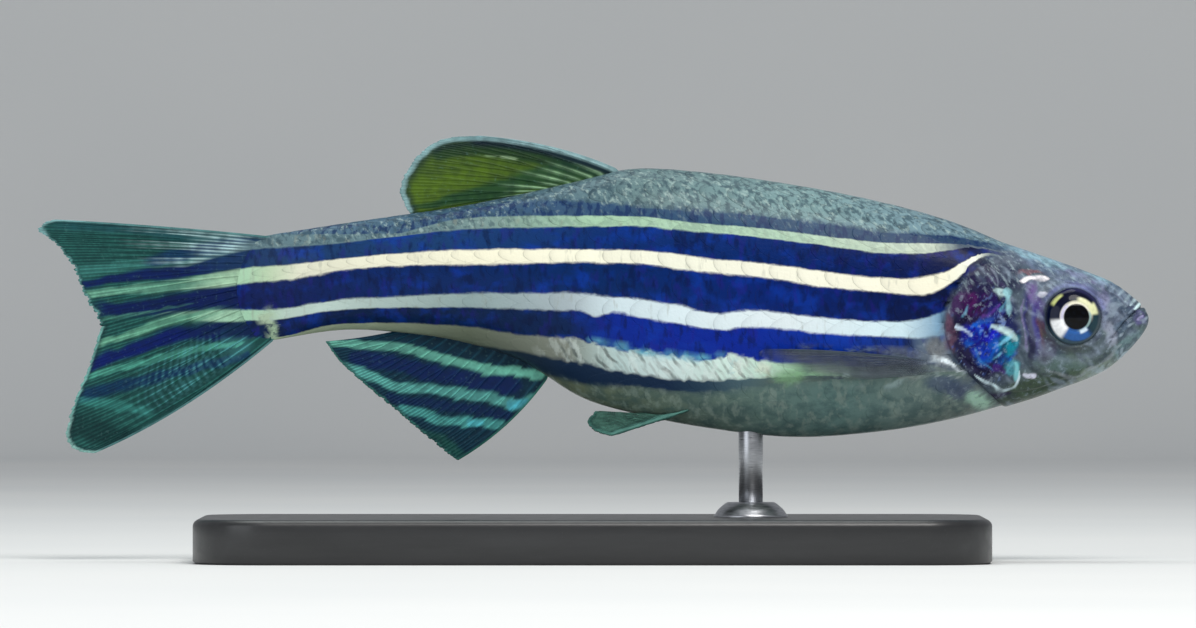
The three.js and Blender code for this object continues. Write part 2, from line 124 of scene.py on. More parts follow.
def smooth(points):
    """Smooth curve y(x) through points given in order of x."""
    xs, ys = np.array(points, float).T
    order = np.arange(len(xs))
    before = np.maximum(order - 1, 0)
    after = np.minimum(order + 1, len(xs) - 1)
    slope = (ys[after] - ys[before]) / (xs[after] - xs[before])

    def curve(x):
        x = np.asarray(x, float)
        i = np.clip(np.searchsorted(xs, x, side="right") - 1, 0, len(xs) - 2)
        h = xs[i + 1] - xs[i]
        t = np.clip((x - xs[i]) / h, 0, 1)
        rise = ys[i + 1] - ys[i]
        a = slope[i] * h - rise
        b = rise - slope[i + 1] * h
        return ys[i] + t * rise + t * (1 - t) * (a * (1 - t) + b * t)

    return curve


def running_length(points):
    """Length of a line of points, up to each of them."""
    return np.concatenate([[0], np.cumsum(np.linalg.norm(np.diff(points, axis=0), axis=1))])


def path(points, samples=200):
    """Smooth curve through points in any number of dimensions, by the share of its length."""
    points = np.array(points, float)
    steps = np.sqrt(np.linalg.norm(np.diff(points, axis=0), axis=1))
    knots = np.concatenate([[0], np.cumsum(steps)])
    curves = [smooth(np.column_stack([knots, column])) for column in points.T]
    fine = np.column_stack([c(np.linspace(0, knots[-1], samples)) for c in curves])
    length = running_length(fine)

    def at(share):
        return np.stack([np.interp(share, length / length[-1], column) for column in fine.T], axis=-1)

    return at


def drawn(points, samples):
    """Evenly spaced points of the smooth curve through points."""
    return path(points)(np.linspace(0, 1, samples))


def ease(low, high, value):
    """0 below low, 1 above high, and a smooth step between."""
    t = np.clip((value - low) / (high - low), 0, 1)
    return t * t * (3 - 2 * t)


def bell(value, width):
    """1 at a value of 0, falling smoothly away to both sides."""
    return np.exp(-((value / width) ** 2))


def lerp(a, b, t):
    """From a to b as t goes from 0 to 1."""
    return a + (b - a) * t


def unit(vectors):
    """Vectors brought to a length of one."""
    return vectors / np.maximum(np.linalg.norm(vectors, axis=-1, keepdims=True), 1e-9)


def beside(points, x, z):
    """Signed distance of side-view points to a line of points, and how far along it they lie.
    The sign is positive to the left of the line as it is drawn."""
    points = np.array(points, float)
    lengths = np.linalg.norm(np.diff(points, axis=0), axis=1)
    starts = np.concatenate([[0], np.cumsum(lengths)])
    best = np.full(np.shape(x), np.inf)
    sign = np.ones(np.shape(x))
    along = np.zeros(np.shape(x))
    for i, length in enumerate(lengths):
        (ax, az), (bx, bz) = points[i], points[i + 1]
        dx, dz = (bx - ax) / length, (bz - az) / length
        t = np.clip((x - ax) * dx + (z - az) * dz, 0, length)
        away = np.hypot(x - ax - t * dx, z - az - t * dz)
        nearer = away < best
        best = np.where(nearer, away, best)
        side = dx * (z - az) - dz * (x - ax)
        sign = np.where(nearer, np.where(side < 0, -1.0, 1.0), sign)
        along = np.where(nearer, starts[i] + t, along)
    return best * sign, along / starts[-1]


# The body's form

back_line = smooth([(s[0], s[1]) for s in STATIONS])
belly_line = smooth([(s[0], s[2]) for s in STATIONS])
half_line = smooth([(s[0], s[3]) for s in STATIONS])


def section(x):
    """Back, belly, widest level, half width and squareness of the body at x."""
    t = np.clip((x - NOSE_START) / (SNOUT_X - NOSE_START), 0, 1)
    rounding = np.sqrt(1 - t * t)
    back = back_line(x) * rounding
    belly = belly_line(x) * rounding
    level = belly + WIDEST * (back - belly)
    along = (x - TAIL_ROOT) / (SNOUT_X - TAIL_ROOT)
    return back, belly, level, half_line(x) * rounding, lerp(SQUARE_TAIL, SQUARE_HEAD, along)


def flank(x, z):
    """Half width of the body at x and level z."""
    back, belly, level, half, square = section(x)
    reach = np.where(z > level, back - level, level - belly)
    share = np.clip(np.abs(z - level) / np.maximum(reach, 1e-6), 0, 1)
    return half * (1 - share**square) ** (1 / square)


def underside(x, y):
    """Level of the underside of the body at x and distance y from the middle."""
    back, belly, level, half, square = section(x)
    share = np.clip(np.abs(y) / half, 0, 1)
    return level - (level - belly) * (1 - share**square) ** (1 / square)


def even_angles():
    """Angle up the flank by the share of the way from belly to back, even in length at the deepest part."""
    angles = np.linspace(-math.pi / 2, math.pi / 2, 400)
    points = np.column_stack([DEEPEST_HALF_WIDTH * np.cos(angles), DEEPEST_HALF_DEPTH * np.sin(angles)])
    length = running_length(points)
    return lambda share: np.interp(share, length / length[-1], angles)


flank_angle = even_angles()


def body_point(x, turn):
    """Point on the body at x. turn runs from 0 at the belly up the left flank to 0.5 at the back,
    and down the right flank to 1."""
    turn = np.asarray(turn) % 1.0
    side = np.where(turn < 0.5, 1.0, -1.0)
    angle = flank_angle(np.where(turn < 0.5, 2 * turn, 2 - 2 * turn))
    back, belly, level, half, square = section(x)
    out = np.clip(np.cos(angle), 0, 1) ** (2 / square)
    up = np.sign(np.sin(angle)) * np.abs(np.sin(angle)) ** (2 / square)
    z = level + up * np.where(up > 0, back - level, level - belly)
    return np.stack([x + 0 * z, side * half * out, z], axis=-1)


def body_normal(x, turn):
    """Outward normal of the body at x and turn."""
    step = 0.02
    along = body_point(np.minimum(x + step, SNOUT_X - 1e-3), turn) - body_point(x - step, turn)
    around = body_point(x, turn + 0.002) - body_point(x, turn - 0.002)
    return unit(np.cross(around, along))


def sway(x):
    """Sideways swing of the tail."""
    t = np.maximum(0, (SWAY_START - x) / (SWAY_START + SNOUT_X))
    return TAIL_SWAY * t * t


slit_path = drawn(GILL_SLIT, 60)
edge_path = drawn(HEAD_EDGE, 60)
cleft_path = drawn(MOUTH_CLEFT, 40)


def head_share(x, z):
    """1 on the bare head, 0 on the scaled trunk. It changes sharply at the gill slit, slowly on the nape."""
    soft = lerp(0.14, 0.8, ease(2.1, 3.0, z))
    return ease(-soft, soft, beside(edge_path, x, z)[0])


def ripple(x, z, fineness, seed):
    """Smooth random values from -1 to 1 over side-view points, with so many cells to the millimetre."""
    size = 97  # cells before the values come round again
    grid = np.random.default_rng(SEED + seed).uniform(-1, 1, (size, size))
    column, row = x * fineness, z * fineness
    i, j = np.floor(column).astype(int), np.floor(row).astype(int)
    s, t = ease(0, 1, column - i), ease(0, 1, row - j)

    def corner(right, up):
        return grid[(i + right) % size, (j + up) % size]

    return lerp(lerp(corner(0, 0), corner(1, 0), s), lerp(corner(0, 1), corner(1, 1), s), t)


def grain(x, z, fineness, seed, lie=-35, stretch=2.0):
    """Ripple drawn out along the lie of the skin, with a finer ripple over it."""
    turn = math.radians(lie)
    along = (x * math.cos(turn) + z * math.sin(turn)) / stretch
    across = z * math.cos(turn) - x * math.sin(turn)
    finer = ripple(along + across, across - along, 2 * fineness, seed + 40)
    return 0.65 * ripple(along, across, fineness, seed) + 0.5 * finer


# Meshes


def to_metres(points):
    points = np.array(points, float)
    points[..., 1] += sway(points[..., 0])
    points[..., 2] += JAW_LEVEL
    return points.reshape(-1, 3) * MM


def add_mesh(name, points, faces, values=None, uv=None):
    """Smooth-shaded object from points in metres, with values at its points and an OFBake map per point."""
    mesh = bpy.data.meshes.new(name)
    mesh.from_pydata(points.tolist(), [], [tuple(f) for f in faces])
    for key, data in (values or {}).items():
        data = np.asarray(data, np.float32)
        kind, field = ("FLOAT_COLOR", "color") if data.ndim == 2 else ("FLOAT", "value")
        mesh.attributes.new(key, kind, "POINT").data.foreach_set(field, data.ravel())
    if uv is not None:
        corners = np.empty(len(mesh.loops), np.int32)
        mesh.loops.foreach_get("vertex_index", corners)
        layer = mesh.uv_layers.new(name="OFBake")
        layer.data.foreach_set("uv", np.asarray(uv, np.float32)[corners].ravel())
    mesh.polygons.foreach_set("use_smooth", np.ones(len(mesh.polygons), bool))
    mesh.update()
    piece = bpy.data.objects.new(name, mesh)
    bpy.context.scene.collection.objects.link(piece)
    return piece


def grid_faces(rows, columns, wrap=False):
    """Quads of a grid of points, with rows and columns counted in points."""
    i, j = np.meshgrid(np.arange(rows - 1), np.arange(columns if wrap else columns - 1), indexing="ij")
    a = i * columns + j
    b = i * columns + (j + 1) % columns
    return np.stack([a, b, b + columns, a + columns], axis=-1).reshape(-1, 4)


def rim_loop(rows, columns):
    """Indices round the edge of a grid."""
    grid = np.arange(rows * columns).reshape(rows, columns)
    return np.concatenate([grid[0, :-1], grid[:-1, -1], grid[-1, :0:-1], grid[:0:-1, 0]])


def plate_faces(rows, columns):
    """Faces of a closed plate: an upper grid, the same grid below, and the rim between them."""
    top = grid_faces(rows, columns)
    count = rows * columns
    loop = rim_loop(rows, columns)
    after = np.roll(loop, -1)
    rim = np.stack([after, loop, loop + count, after + count], axis=-1)
    return np.concatenate([top, top[:, ::-1] + count, rim])


def tube_faces(rows, columns):
    """Faces of a closed tube of rings, with a flat cap on each end."""
    faces = [tuple(f) for f in grid_faces(rows, columns, wrap=True)]
    faces.append(tuple(range(columns))[::-1])
    faces.append(tuple(range((rows - 1) * columns, rows * columns)))
    return faces


def opaque(colour):
    """Colours as the values of a mesh's points, with nothing seen through them."""
    colour = colour.reshape(-1, 3)
    return np.concatenate([colour, np.ones((len(colour), 1))], axis=1)


def dress(piece, material, slot, *nodes):
    """Finishes a piece: its material, its body and the nodes that it stands for. Its slot is not used."""
    piece.data.materials.append(material)
    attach(piece, "root")
    if nodes:
        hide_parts(*nodes)
    return piece


# Markings. Each edge is x, level along the lower border of the zone above it, from back to belly.
STRIPE_EDGES = {
    "thin_blue": (
        (-7.8, 3.81), (-5.4, 4.37), (-2.9, 4.78), (-0.5, 4.74), (1.9, 4.51), (4.3, 4.37), (6.8, 4.17),
        (9.2, 3.89), (11.6, 3.52), (13.2, 3.44), (14.9, 3.28), (16.5, 2.96),
    ),
    "pale": (
        (-7.8, 3.44), (-5.4, 4.05), (-2.9, 4.15), (1.9, 4.13), (4.3, 3.85), (6.8, 3.66), (9.2, 3.36),
        (11.6, 3.08), (13.2, 3.06), (14.9, 3.0), (16.5, 2.75),
    ),
    "upper_blue": (
        (-16.5, 2.1), (-14.9, 2.6), (-13.6, 2.84), (-12.6, 2.9), (-10.2, 3.08), (-7.8, 3.36), (-5.4, 3.62),
        (-0.5, 3.74), (1.9, 3.75), (4.3, 3.54), (6.8, 3.3), (9.2, 3.02), (11.6, 2.7), (13.2, 2.66),
        (14.5, 2.82), (15.5, 2.93), (16.5, 2.67),
    ),
    "cream": (
        (-16.5, 1.66), (-15.0, 1.92), (-13.8, 2.1), (-12.6, 2.15), (-10.2, 2.43), (-7.8, 2.64),
        (-5.4, 2.78), (1.9, 2.74), (4.3, 2.45), (6.8, 2.25), (9.2, 1.89), (11.6, 1.62), (13.2, 1.67),
        (14.3, 1.94), (15.1, 2.38), (15.9, 2.66), (16.5, 2.54),
    ),
    "middle_blue": (
        (-16.5, 1.2), (-15.0, 1.3), (-13.8, 1.5), (-12.6, 1.57), (-10.2, 1.96), (-7.8, 2.16), (-2.9, 2.26),
        (-0.5, 2.32), (1.9, 2.24), (4.3, 1.92), (6.8, 1.71), (9.2, 1.31), (11.6, 1.11), (13.2, 0.96),
        (14.0, 1.2), (14.8, 1.76), (15.3, 2.29), (15.9, 2.57), (16.5, 2.5),
    ),
    "white": (
        (-16.5, 0.3), (-15.0, 0.37), (-13.8, 0.36), (-12.6, 0.39), (-10.2, 0.76), (-7.8, 0.88),
        (-5.4, 1.02), (-0.5, 1.02), (0.3, 0.92), (1.9, 0.78), (3.5, 0.51), (4.3, 0.31), (5.2, 0.19),
        (6.0, 0.31), (6.8, 0.31), (9.2, 0.03), (11.6, -0.11), (13.2, 0), (14.5, 0.48), (15.5, 1.13),
    ),
    "lower_blue": (
        (-16.5, -0.02), (-15.0, -0.1), (-13.8, -0.06), (-12.6, 0.02), (-10.2, 0.38), (-5.4, 0.48),
        (-2.9, 0.4), (-0.5, 0.34), (0.1, 0.12), (0.8, 0.32), (1.9, 0.12), (3.5, -0.17), (4.3, -0.33),
        (5.2, -0.41), (6.0, -0.29), (6.8, -0.29), (9.2, -0.53), (11.6, -0.65), (13.2, -0.74), (14.5, -0.6),
    ),
    "silver": (
        (-16.5, -0.85), (-14.3, -0.84), (-12.6, -0.72), (-10.2, -0.2), (-5.4, -0.28), (-2.9, -0.62),
        (-0.5, -0.84), (0.7, -1.19), (1.9, -1.31), (2.9, -1.43), (3.9, -1.63), (4.8, -1.67), (5.6, -1.43),
        (6.8, -1.71), (8.4, -1.79), (10.0, -1.91), (14.5, -1.78),
    ),
    "dark_line": (
        (-14.3, -1.0), (-12.6, -0.88), (-10.2, -0.44), (-7.8, -0.52), (-5.4, -0.96), (-2.9, -1.31),
        (-0.5, -1.77), (1.1, -2.1), (1.9, -2.26), (4.3, -2.5), (6.8, -2.38), (10.8, -2.3), (14.5, -2.14),
    ),
    "belly": (
        (-14.3, -1.2), (-10.2, -0.6), (-7.8, -0.7), (-5.4, -1.37), (-2.9, -1.89), (-0.5, -2.62),
        (1.9, -2.74), (4.3, -2.95), (6.8, -2.66), (8.4, -2.46), (10.8, -2.38), (14.5, -2.22),
    ),
}
# Colours of each zone along the body, as x and colour. The first zone is the back.
ZONE_COLOURS = (
    ((-13, (64, 98, 120)), (-5, (66, 96, 118)), (2, (100, 126, 128)), (9, (122, 152, 154)),
     (15, (110, 138, 152))),
    ((-9, (78, 106, 126)), (-4, (60, 88, 116)), (0, (52, 80, 110)), (6, (42, 74, 106)), (15, (40, 64, 96))),
    ((-8, (96, 122, 130)), (-4, (118, 144, 140)), (0, (160, 196, 166)), (8, (176, 204, 180)),
     (13.6, (196, 208, 190)), (14.8, (84, 96, 112))),
    ((-13, (26, 56, 98)), (-6, (24, 60, 108)), (1, (8, 44, 106)), (7, (4, 38, 102)), (12, (2, 26, 84)),
     (15, (12, 20, 56))),
    ((-14, (170, 208, 176)), (-13.2, (188, 212, 178)), (-11.8, (226, 226, 204)), (-4, (248, 244, 218)),
     (3, (246, 246, 226)), (9, (246, 244, 224)), (14, (246, 242, 218)), (15.5, (234, 238, 224)),
     (16.1, (110, 125, 130))),
    ((-13, (8, 28, 84)), (-8, (6, 38, 94)), (0, (3, 40, 96)), (7, (2, 34, 108)), (12, (3, 24, 78)),
     (14.4, (8, 16, 48))),
    ((-14, (160, 204, 174)), (-13.2, (176, 208, 182)), (-12.4, (190, 212, 200)), (-11, (196, 216, 208)),
     (-5, (150, 172, 172)), (-1, (170, 184, 190)), (1, (216, 234, 240)), (8, (232, 244, 247)),
     (12.5, (212, 236, 244)), (14, (120, 160, 190)), (14.6, (80, 70, 95))),
    ((-13, (6, 30, 70)), (-6, (6, 34, 72)), (-1, (6, 36, 82)), (1, (4, 40, 146)), (6, (3, 38, 150)),
     (10, (8, 56, 168)), (12.6, (18, 44, 104)), (13.3, (90, 108, 128))),
    ((-13, (150, 165, 140)), (-9, (150, 162, 138)), (-5, (112, 122, 104)), (-1, (134, 140, 130)),
     (1, (198, 222, 220)), (3, (224, 244, 242)), (6.5, (214, 242, 228)), (8.4, (160, 208, 166)),
     (10.2, (124, 156, 138)), (11.2, (110, 124, 124))),
    ((-13, (120, 130, 110)), (-6, (54, 68, 72)), (-1, (26, 46, 72)), (3, (30, 50, 78)),
     (4.6, (48, 72, 92)), (6.2, (80, 106, 114)), (7.6, (94, 114, 108))),
    ((-13, (110, 125, 100)), (-6, (96, 108, 92)), (-1, (112, 124, 100)), (4, (100, 120, 110)),
     (10, (108, 140, 136)), (15, (112, 124, 120))),
)
SOFT_EDGED_ZONES = (1, 9, 10)
stripe_curves = [smooth(points) for points in STRIPE_EDGES.values()]


def stripe_value(x, z):
    """Where a side-view point lies among the stripes: a whole number on each edge, counted from the back."""
    levels = [back_line(x) + 0.4, *(curve(x) for curve in stripe_curves), belly_line(x) - 0.4]
    value = np.full(np.shape(x), -1.0)
    for above, below in zip(levels, levels[1:]):
        value += np.clip((above - z) / np.maximum(above - below, 0.03), 0, 1)
    return value


def zone_colour(x, z):
    """The stripes' colours at side-view points, and where the points lie among the stripes."""
    value = stripe_value(x, z)
    x = np.maximum(x, TAIL_ROOT - 0.5)
    colour = 0.0
    for number, stops in enumerate(ZONE_COLOURS):
        shades = np.array([linear_shade(shade) for _, shade in stops])
        here = np.stack([np.interp(x, [stop[0] for stop in stops], column) for column in shades.T], axis=-1)
        amount = ease(number - 1.08, number - 0.92, value)[..., None] if number else 1.0
        colour = lerp(colour, here, amount)
    return colour, value


# Patches of colour: x, z, reach along x, reach along z, tilt in degrees, colour, strength
HEAD_GREY = (80, 94, 106)
HEAD_PATCHES = (
    (18.3, 2.75, 4.2, 0.92, -22, (146, 184, 200), 0.92),
    (19.0, 1.75, 2.6, 0.3, -20, (88, 88, 124), 0.6),
    (19.4, -1.9, 2.8, 0.95, 20, (80, 94, 94), 0.9),
    (18.0, -2.75, 2.4, 0.6, 14, (62, 78, 60), 0.9),
    (20.3, -2.1, 1.7, 0.3, 27, (134, 150, 138), 0.8),
    (21.2, 0.4, 0.8, 1.3, 0, (76, 94, 116), 0.8),
    (20.85, -0.5, 0.3, 0.75, 22, (164, 170, 188), 0.75),
    (20.65, 0.75, 0.22, 0.55, 20, (170, 168, 206), 0.6),
    (22.05, 0.05, 0.3, 0.38, 0, (96, 84, 146), 0.75),
    (21.6, -1.1, 0.9, 0.3, 42, (112, 140, 144), 0.75),
    (21.0, 0.2, 0.3, 0.35, 0, (96, 104, 122), 0.6),
    (17.75, 0.0, 0.46, 1.5, 4, (50, 36, 122), 0.97),
    (17.6, -0.4, 0.16, 1.5, 4, (26, 22, 56), 0.9),
    (17.75, 1.1, 0.3, 0.4, 0, (116, 92, 150), 0.8),
    (18.08, -0.5, 0.17, 0.7, 8, (104, 58, 56), 0.85),
    # painted shade below and behind the eye's rim
    (18.55, -1.1, 0.75, 0.28, -48, (40, 62, 74), 0.8),
    (18.9, -1.75, 1.1, 0.32, -10, (88, 112, 108), 0.7),
    (18.3, -1.2, 0.5, 0.6, 0, (92, 84, 112), 0.5),
    (16.2, 1.7, 1.35, 0.7, -12, (36, 38, 68), 0.95),
    (15.5, 1.9, 0.55, 0.42, 38, (26, 28, 62), 0.95),
    (16.7, 2.45, 1.1, 0.35, -22, (100, 108, 124), 0.7),
    (15.6, -0.4, 1.45, 2.55, 0, (28, 20, 62), 0.97),
    (16.55, -0.6, 0.7, 1.7, 0, (26, 34, 84), 0.9),
    (15.2, 0.62, 0.85, 0.5, 4, (58, 14, 74), 0.85),
    (16.0, 0.85, 0.5, 0.4, 0, (34, 14, 72), 0.85),
    (16.3, 0.45, 0.42, 0.4, 0, (34, 34, 108), 0.85),
    (15.75, -0.5, 0.95, 0.5, 0, (18, 22, 190), 0.95),
    (15.3, -0.7, 0.5, 0.45, 0, (10, 14, 120), 0.85),
    (16.2, -1.4, 0.9, 0.6, 12, (6, 88, 182), 0.95),
    (15.75, -1.35, 0.5, 0.4, 0, (8, 40, 170), 0.85),
    (16.8, -1.0, 0.4, 0.45, 0, (16, 134, 150), 0.9),
    (16.95, -1.9, 0.36, 0.4, 0, (70, 160, 176), 0.7),
    (16.3, -2.05, 0.5, 0.22, -12, (60, 26, 112), 0.85),
    (16.5, 1.02, 0.28, 0.17, -14, (196, 228, 226), 0.85),
    (14.4, -0.55, 0.28, 0.9, 6, (96, 66, 88), 0.9),
    (14.6, 0.6, 0.3, 0.5, -20, (60, 36, 80), 0.9),
    # painted highlight at the front end of the bright line along the gill cover's lower margin
    (17.6, -2.22, 0.2, 0.17, 0, (222, 224, 244), 0.9),
    (18.13, 1.02, 0.14, 0.14, 0, (226, 226, 240), 0.9),
    (19.9, 1.62, 1.2, 0.16, -16, (140, 146, 184), 0.5),
    (17.7, 1.82, 0.55, 0.09, -3, (136, 88, 96), 0.7),
)
# Lines on the head, most of them bright: points, half width, colour, strength. The white ones on the gill
# cover, along its lower margin, above and behind the eye and on the upper lip are painted highlights.
HEAD_STREAKS = (
    # painted highlight above and behind the eye
    (((17.15, 1.58), (17.75, 1.62), (18.4, 1.63)), 0.12, (252, 246, 252), 1.2),
    # painted highlights on the gill cover and along its lower margin
    (((14.62, -0.25), (15.0, -0.48), (15.25, -0.76)), 0.1, (206, 226, 246), 0.95),
    (((16.0, -0.26), (16.4, -0.4), (16.8, -0.62), (17.1, -0.9)), 0.12, (206, 238, 236), 0.97),
    (((15.35, -2.2), (15.8, -2.5), (16.35, -2.82), (16.8, -2.86), (17.1, -2.6), (17.2, -2.1)), 0.095, (214,
      238, 246), 0.95),
    (((16.7, 1.3), (16.74, 0.8), (16.8, 0.1)), 0.13, (150, 206, 214), 0.8),
    (((16.98, -1.7), (17.1, -2.0), (17.02, -2.5)), 0.13, (132, 206, 214), 0.8),
    (((15.5, -3.0), (16.2, -3.1), (16.9, -3.0)), 0.14, (44, 30, 70), 0.8),
    (((16.4, 0.6), (16.0, 0.2), (15.6, 0.1)), 0.06, (120, 70, 170), 0.7),
    (((15.4, -1.2), (15.7, -1.75), (16.2, -2.1)), 0.07, (90, 170, 230), 0.6),
    (((17.3, 0.9), (17.36, -0.2), (17.5, -1.4)), 0.06, (132, 124, 168), 0.7),
    # painted highlights on the upper lip
    (((21.86, 0.32), (22.06, 0.52), (22.26, 0.7)), 0.07, (214, 242, 244), 1.2),
    (((21.66, 0.5), (21.86, 0.72), (22.04, 0.86)), 0.07, (204, 230, 238), 1.1),
    (((21.44, 0.72), (21.62, 0.92), (21.8, 1.06)), 0.07, (196, 222, 232), 1.1),
    (((21.14, 0.96), (21.32, 1.12), (21.46, 1.24)), 0.06, (180, 204, 216), 0.9),
    (((21.6, 0.16), (21.76, 0.3), (21.88, 0.42)), 0.05, (168, 188, 208), 0.8),
    (((22.05, 0.0), (22.25, 0.2)), 0.055, (176, 172, 216), 0.8),
    # painted highlight along the gill cover's lower margin
    (((14.3, -1.76), (14.7, -1.96), (15.08, -2.22)), 0.1, (222, 238, 246), 1.1),
    (((21.35, 0.35), (21.6, 0.0), (21.7, -0.3)), 0.05, (150, 164, 190), 0.6),
    (((20.9, 1.35), (21.15, 1.1)), 0.05, (172, 190, 206), 0.6),
    (((16.0, 2.1), (16.3, 1.6), (16.35, 1.3)), 0.07, (140, 152, 172), 0.7),
    (((16.45, 2.2), (16.75, 1.75), (16.8, 1.45)), 0.07, (126, 142, 158), 0.7),
    (((15.6, 1.75), (15.8, 1.4)), 0.06, (96, 104, 140), 0.6),
    (((19.0, 1.55), (19.9, 1.3), (20.7, 0.75)), 0.07, (60, 62, 88), 0.6),
    (((20.7, 1.2), (21.3, 0.75), (21.9, 0.2)), 0.05, (70, 76, 96), 0.6),
    (((18.2, -2.0), (19.4, -2.35), (20.6, -1.7), (21.4, -1.0)), 0.07, (160, 168, 176), 0.5),
    (((20.95, -0.85), (20.75, -1.05), (20.6, -1.3)), 0.07, (60, 70, 80), 0.7),
)
# Patches behind the head, laid over the stripes
BODY_PATCHES = (
    (-12.98, -0.34, 0.27, 0.8, 10, (158, 184, 154), 0.95),
    (-13.2, 0.08, 0.5, 0.26, 6, (176, 198, 170), 0.9),
    (14.45, -2.7, 1.15, 0.5, -14, (58, 72, 104), 0.7),
    (14.7, -2.85, 0.6, 0.3, -14, (36, 46, 92), 0.6),
    (15.55, -3.3, 0.6, 0.34, -16, (160, 198, 178), 0.95),
    (13.1, -2.35, 0.9, 0.12, 12, (150, 162, 158), 0.6),
    (13.9, -1.2, 0.5, 0.5, 0, (120, 124, 126), 0.85),
    (12.6, -1.45, 1.3, 0.3, -4, (104, 112, 120), 0.6),
    (11.9, -2.05, 1.0, 0.2, 8, (130, 146, 148), 0.5),
    (9.6, -2.05, 0.9, 0.22, 0, (170, 204, 176), 0.75),
    (10.2, -2.23, 0.26, 0.08, 0, (206, 236, 230), 0.9),
    (7.9, -2.3, 0.75, 0.32, 0, (136, 184, 136), 0.65),
    (5.85, -1.9, 0.4, 0.3, 60, (234, 248, 238), 0.7),
    (6.85, -2.0, 0.28, 0.26, 0, (230, 242, 222), 0.7),
    (12.2, -2.68, 0.6, 0.13, 16, (158, 182, 182), 0.8),
    (10.8, -2.75, 0.5, 0.1, 0, (126, 150, 146), 0.7),
    (12.6, -1.75, 0.9, 0.14, -6, (126, 136, 158), 0.7),
    (14.25, -1.5, 0.3, 0.35, 0, (134, 142, 150), 0.7),
    (7.05, -2.25, 0.12, 0.22, 0, (122, 82, 56), 0.6),
)
# Bright lines behind the head. The first is a painted highlight by the lower edge of the gill cover.
BODY_STREAKS = (
    (((13.65, -1.53), (14.35, -1.78), (14.95, -2.15)), 0.14, (232, 244, 250), 1.3),
    (((-0.2, -0.85), (1.9, -1.26), (3.9, -1.58), (5.2, -1.5)), 0.15, (110, 190, 212), 0.8),
    (((10.6, -1.95), (12.0, -2.0), (13.4, -2.3)), 0.06, (170, 188, 190), 0.5),
)


def patch_amount(x, z, patch):
    """Cover of one soft-edged oval patch, and where it or its near surroundings lie."""
    px, pz, reach_x, reach_z, tilt, _, strength = patch
    turn = math.radians(tilt)
    along = ((x - px) * math.cos(turn) + (z - pz) * math.sin(turn)) / reach_x
    across = ((z - pz) * math.cos(turn) - (x - px) * math.sin(turn)) / reach_z
    away = np.hypot(along, across)
    return strength * (1 - ease(0.6, 1.15, away)), away < 2.2


def streak_amount(x, z, streak):
    """Cover of one line, thinning to its ends, and where it or its near surroundings lie."""
    points, half, _, strength = streak
    away, along = beside(drawn(points, 16), x, z)
    taper = np.sqrt(np.clip(1 - (2 * along - 1) ** 4, 0.02, 1)) * (1 + 0.45 * ripple(x, z, 2.6, 13))
    broken = 0.72 + 0.5 * ripple(x, z, 4.5, 14)
    amount = strength * np.clip(broken, 0, 1) * (1 - ease(0.4, 1.3, np.abs(away) / (half * taper)))
    return amount, np.abs(away) < 6 * half


def lay(colour, amount, shade):
    """A colour painted over others."""
    return lerp(colour, linear_shade(shade), amount[..., None])


def socket_shade_and_rim(colour, x, z):
    """A dark rim of painted shade in the crease under and behind the eye, and a paler one over it."""
    socket = np.hypot(x - EYE["x"], z - EYE["z"])
    angle = np.arctan2(z - EYE["z"], x - EYE["x"])
    behind = 0.5 + 0.5 * np.cos(angle - math.radians(215))
    over = 0.5 + 0.5 * np.cos(angle - math.radians(75))
    # painted shade in the crease under and behind the eye
    colour = lay(colour, 0.7 * bell(socket - 1.3, 0.13) * behind, (44, 40, 44))
    colour = lay(colour, 0.9 * bell(socket - 1.29, 0.12) * over**2, (140, 148, 204))
    return lay(colour, 0.3 * bell(socket - 1.72, 0.16), (138, 150, 172))


def head_mottling(colour, x, z, wx, wz):
    """Soft mottling over the plain skin, and broken, jewel-like colour on the gill cover, with painted glints
    over it.
    """
    jewel = 1 - ease(0.7, 1.08, np.hypot((wx - 15.75) / 1.5, (wz + 0.6) / 2.35))
    plain = (1 - jewel) * (1 - 0.5 * ease(0.2, -0.6, z) * bell(x - 17.8, 0.5))
    snout = ease(20.1, 20.9, x) * (1 - 0.5 * ease(0.1, -0.5, beside(cleft_path, x, z)[0]))
    upper = ease(-0.3, 0.5, z)
    # Strength and place, where the grain starts and is full, the grain's own values, colour
    layers = (
        (0.42 * plain, 0.0, 0.75, (2.6, 8), (46, 56, 72)),
        (0.4 * plain, 0.05, 0.8, (3.0, 9), (150, 166, 186)),
        (0.3 * plain * ease(0.6, -0.8, z), 0.1, 0.8, (2.0, 10), (98, 122, 100)),
        (0.3 * plain * ease(-0.6, 0.6, z), 0.1, 0.8, (2.2, 15), (110, 92, 140)),
        (0.55 * snout, 0.05, 0.45, (3.2, 19, 50, 1.7), (56, 68, 84)),
        (0.6 * snout, 0.1, 0.5, (3.4, 18, 50, 1.8), (176, 194, 208)),
        (0.7 * jewel, 0.1, 0.6, (2.0, 5, 50, 1.6), (8, 8, 36)),
        (0.7 * jewel * (1 - upper), 0.1, 0.6, (2.6, 6, 50, 1.8), (8, 104, 214)),
        (0.4 * jewel * upper, 0.1, 0.6, (2.6, 6, 50, 1.8), (92, 26, 96)),
        (0.65 * jewel, 0.15, 0.55, (4.5, 16, 60, 1.6), (10, 8, 40)),
        # painted glints: pale cyan highlights broken over the gill cover
        (jewel * lerp(0.8, 0.4, upper), 0.5, 0.8, (2.4, 7, 55, 2.4), (126, 206, 238)),
        (jewel * lerp(0.6, 0.3, upper), 0.5, 0.75, (5.0, 17, 40, 1.5), (120, 150, 214)),
    )
    for where, low, high, cloud, shade in layers:
        colour = lay(colour, where * ease(low, high, grain(x, z, *cloud)), shade)
    return colour


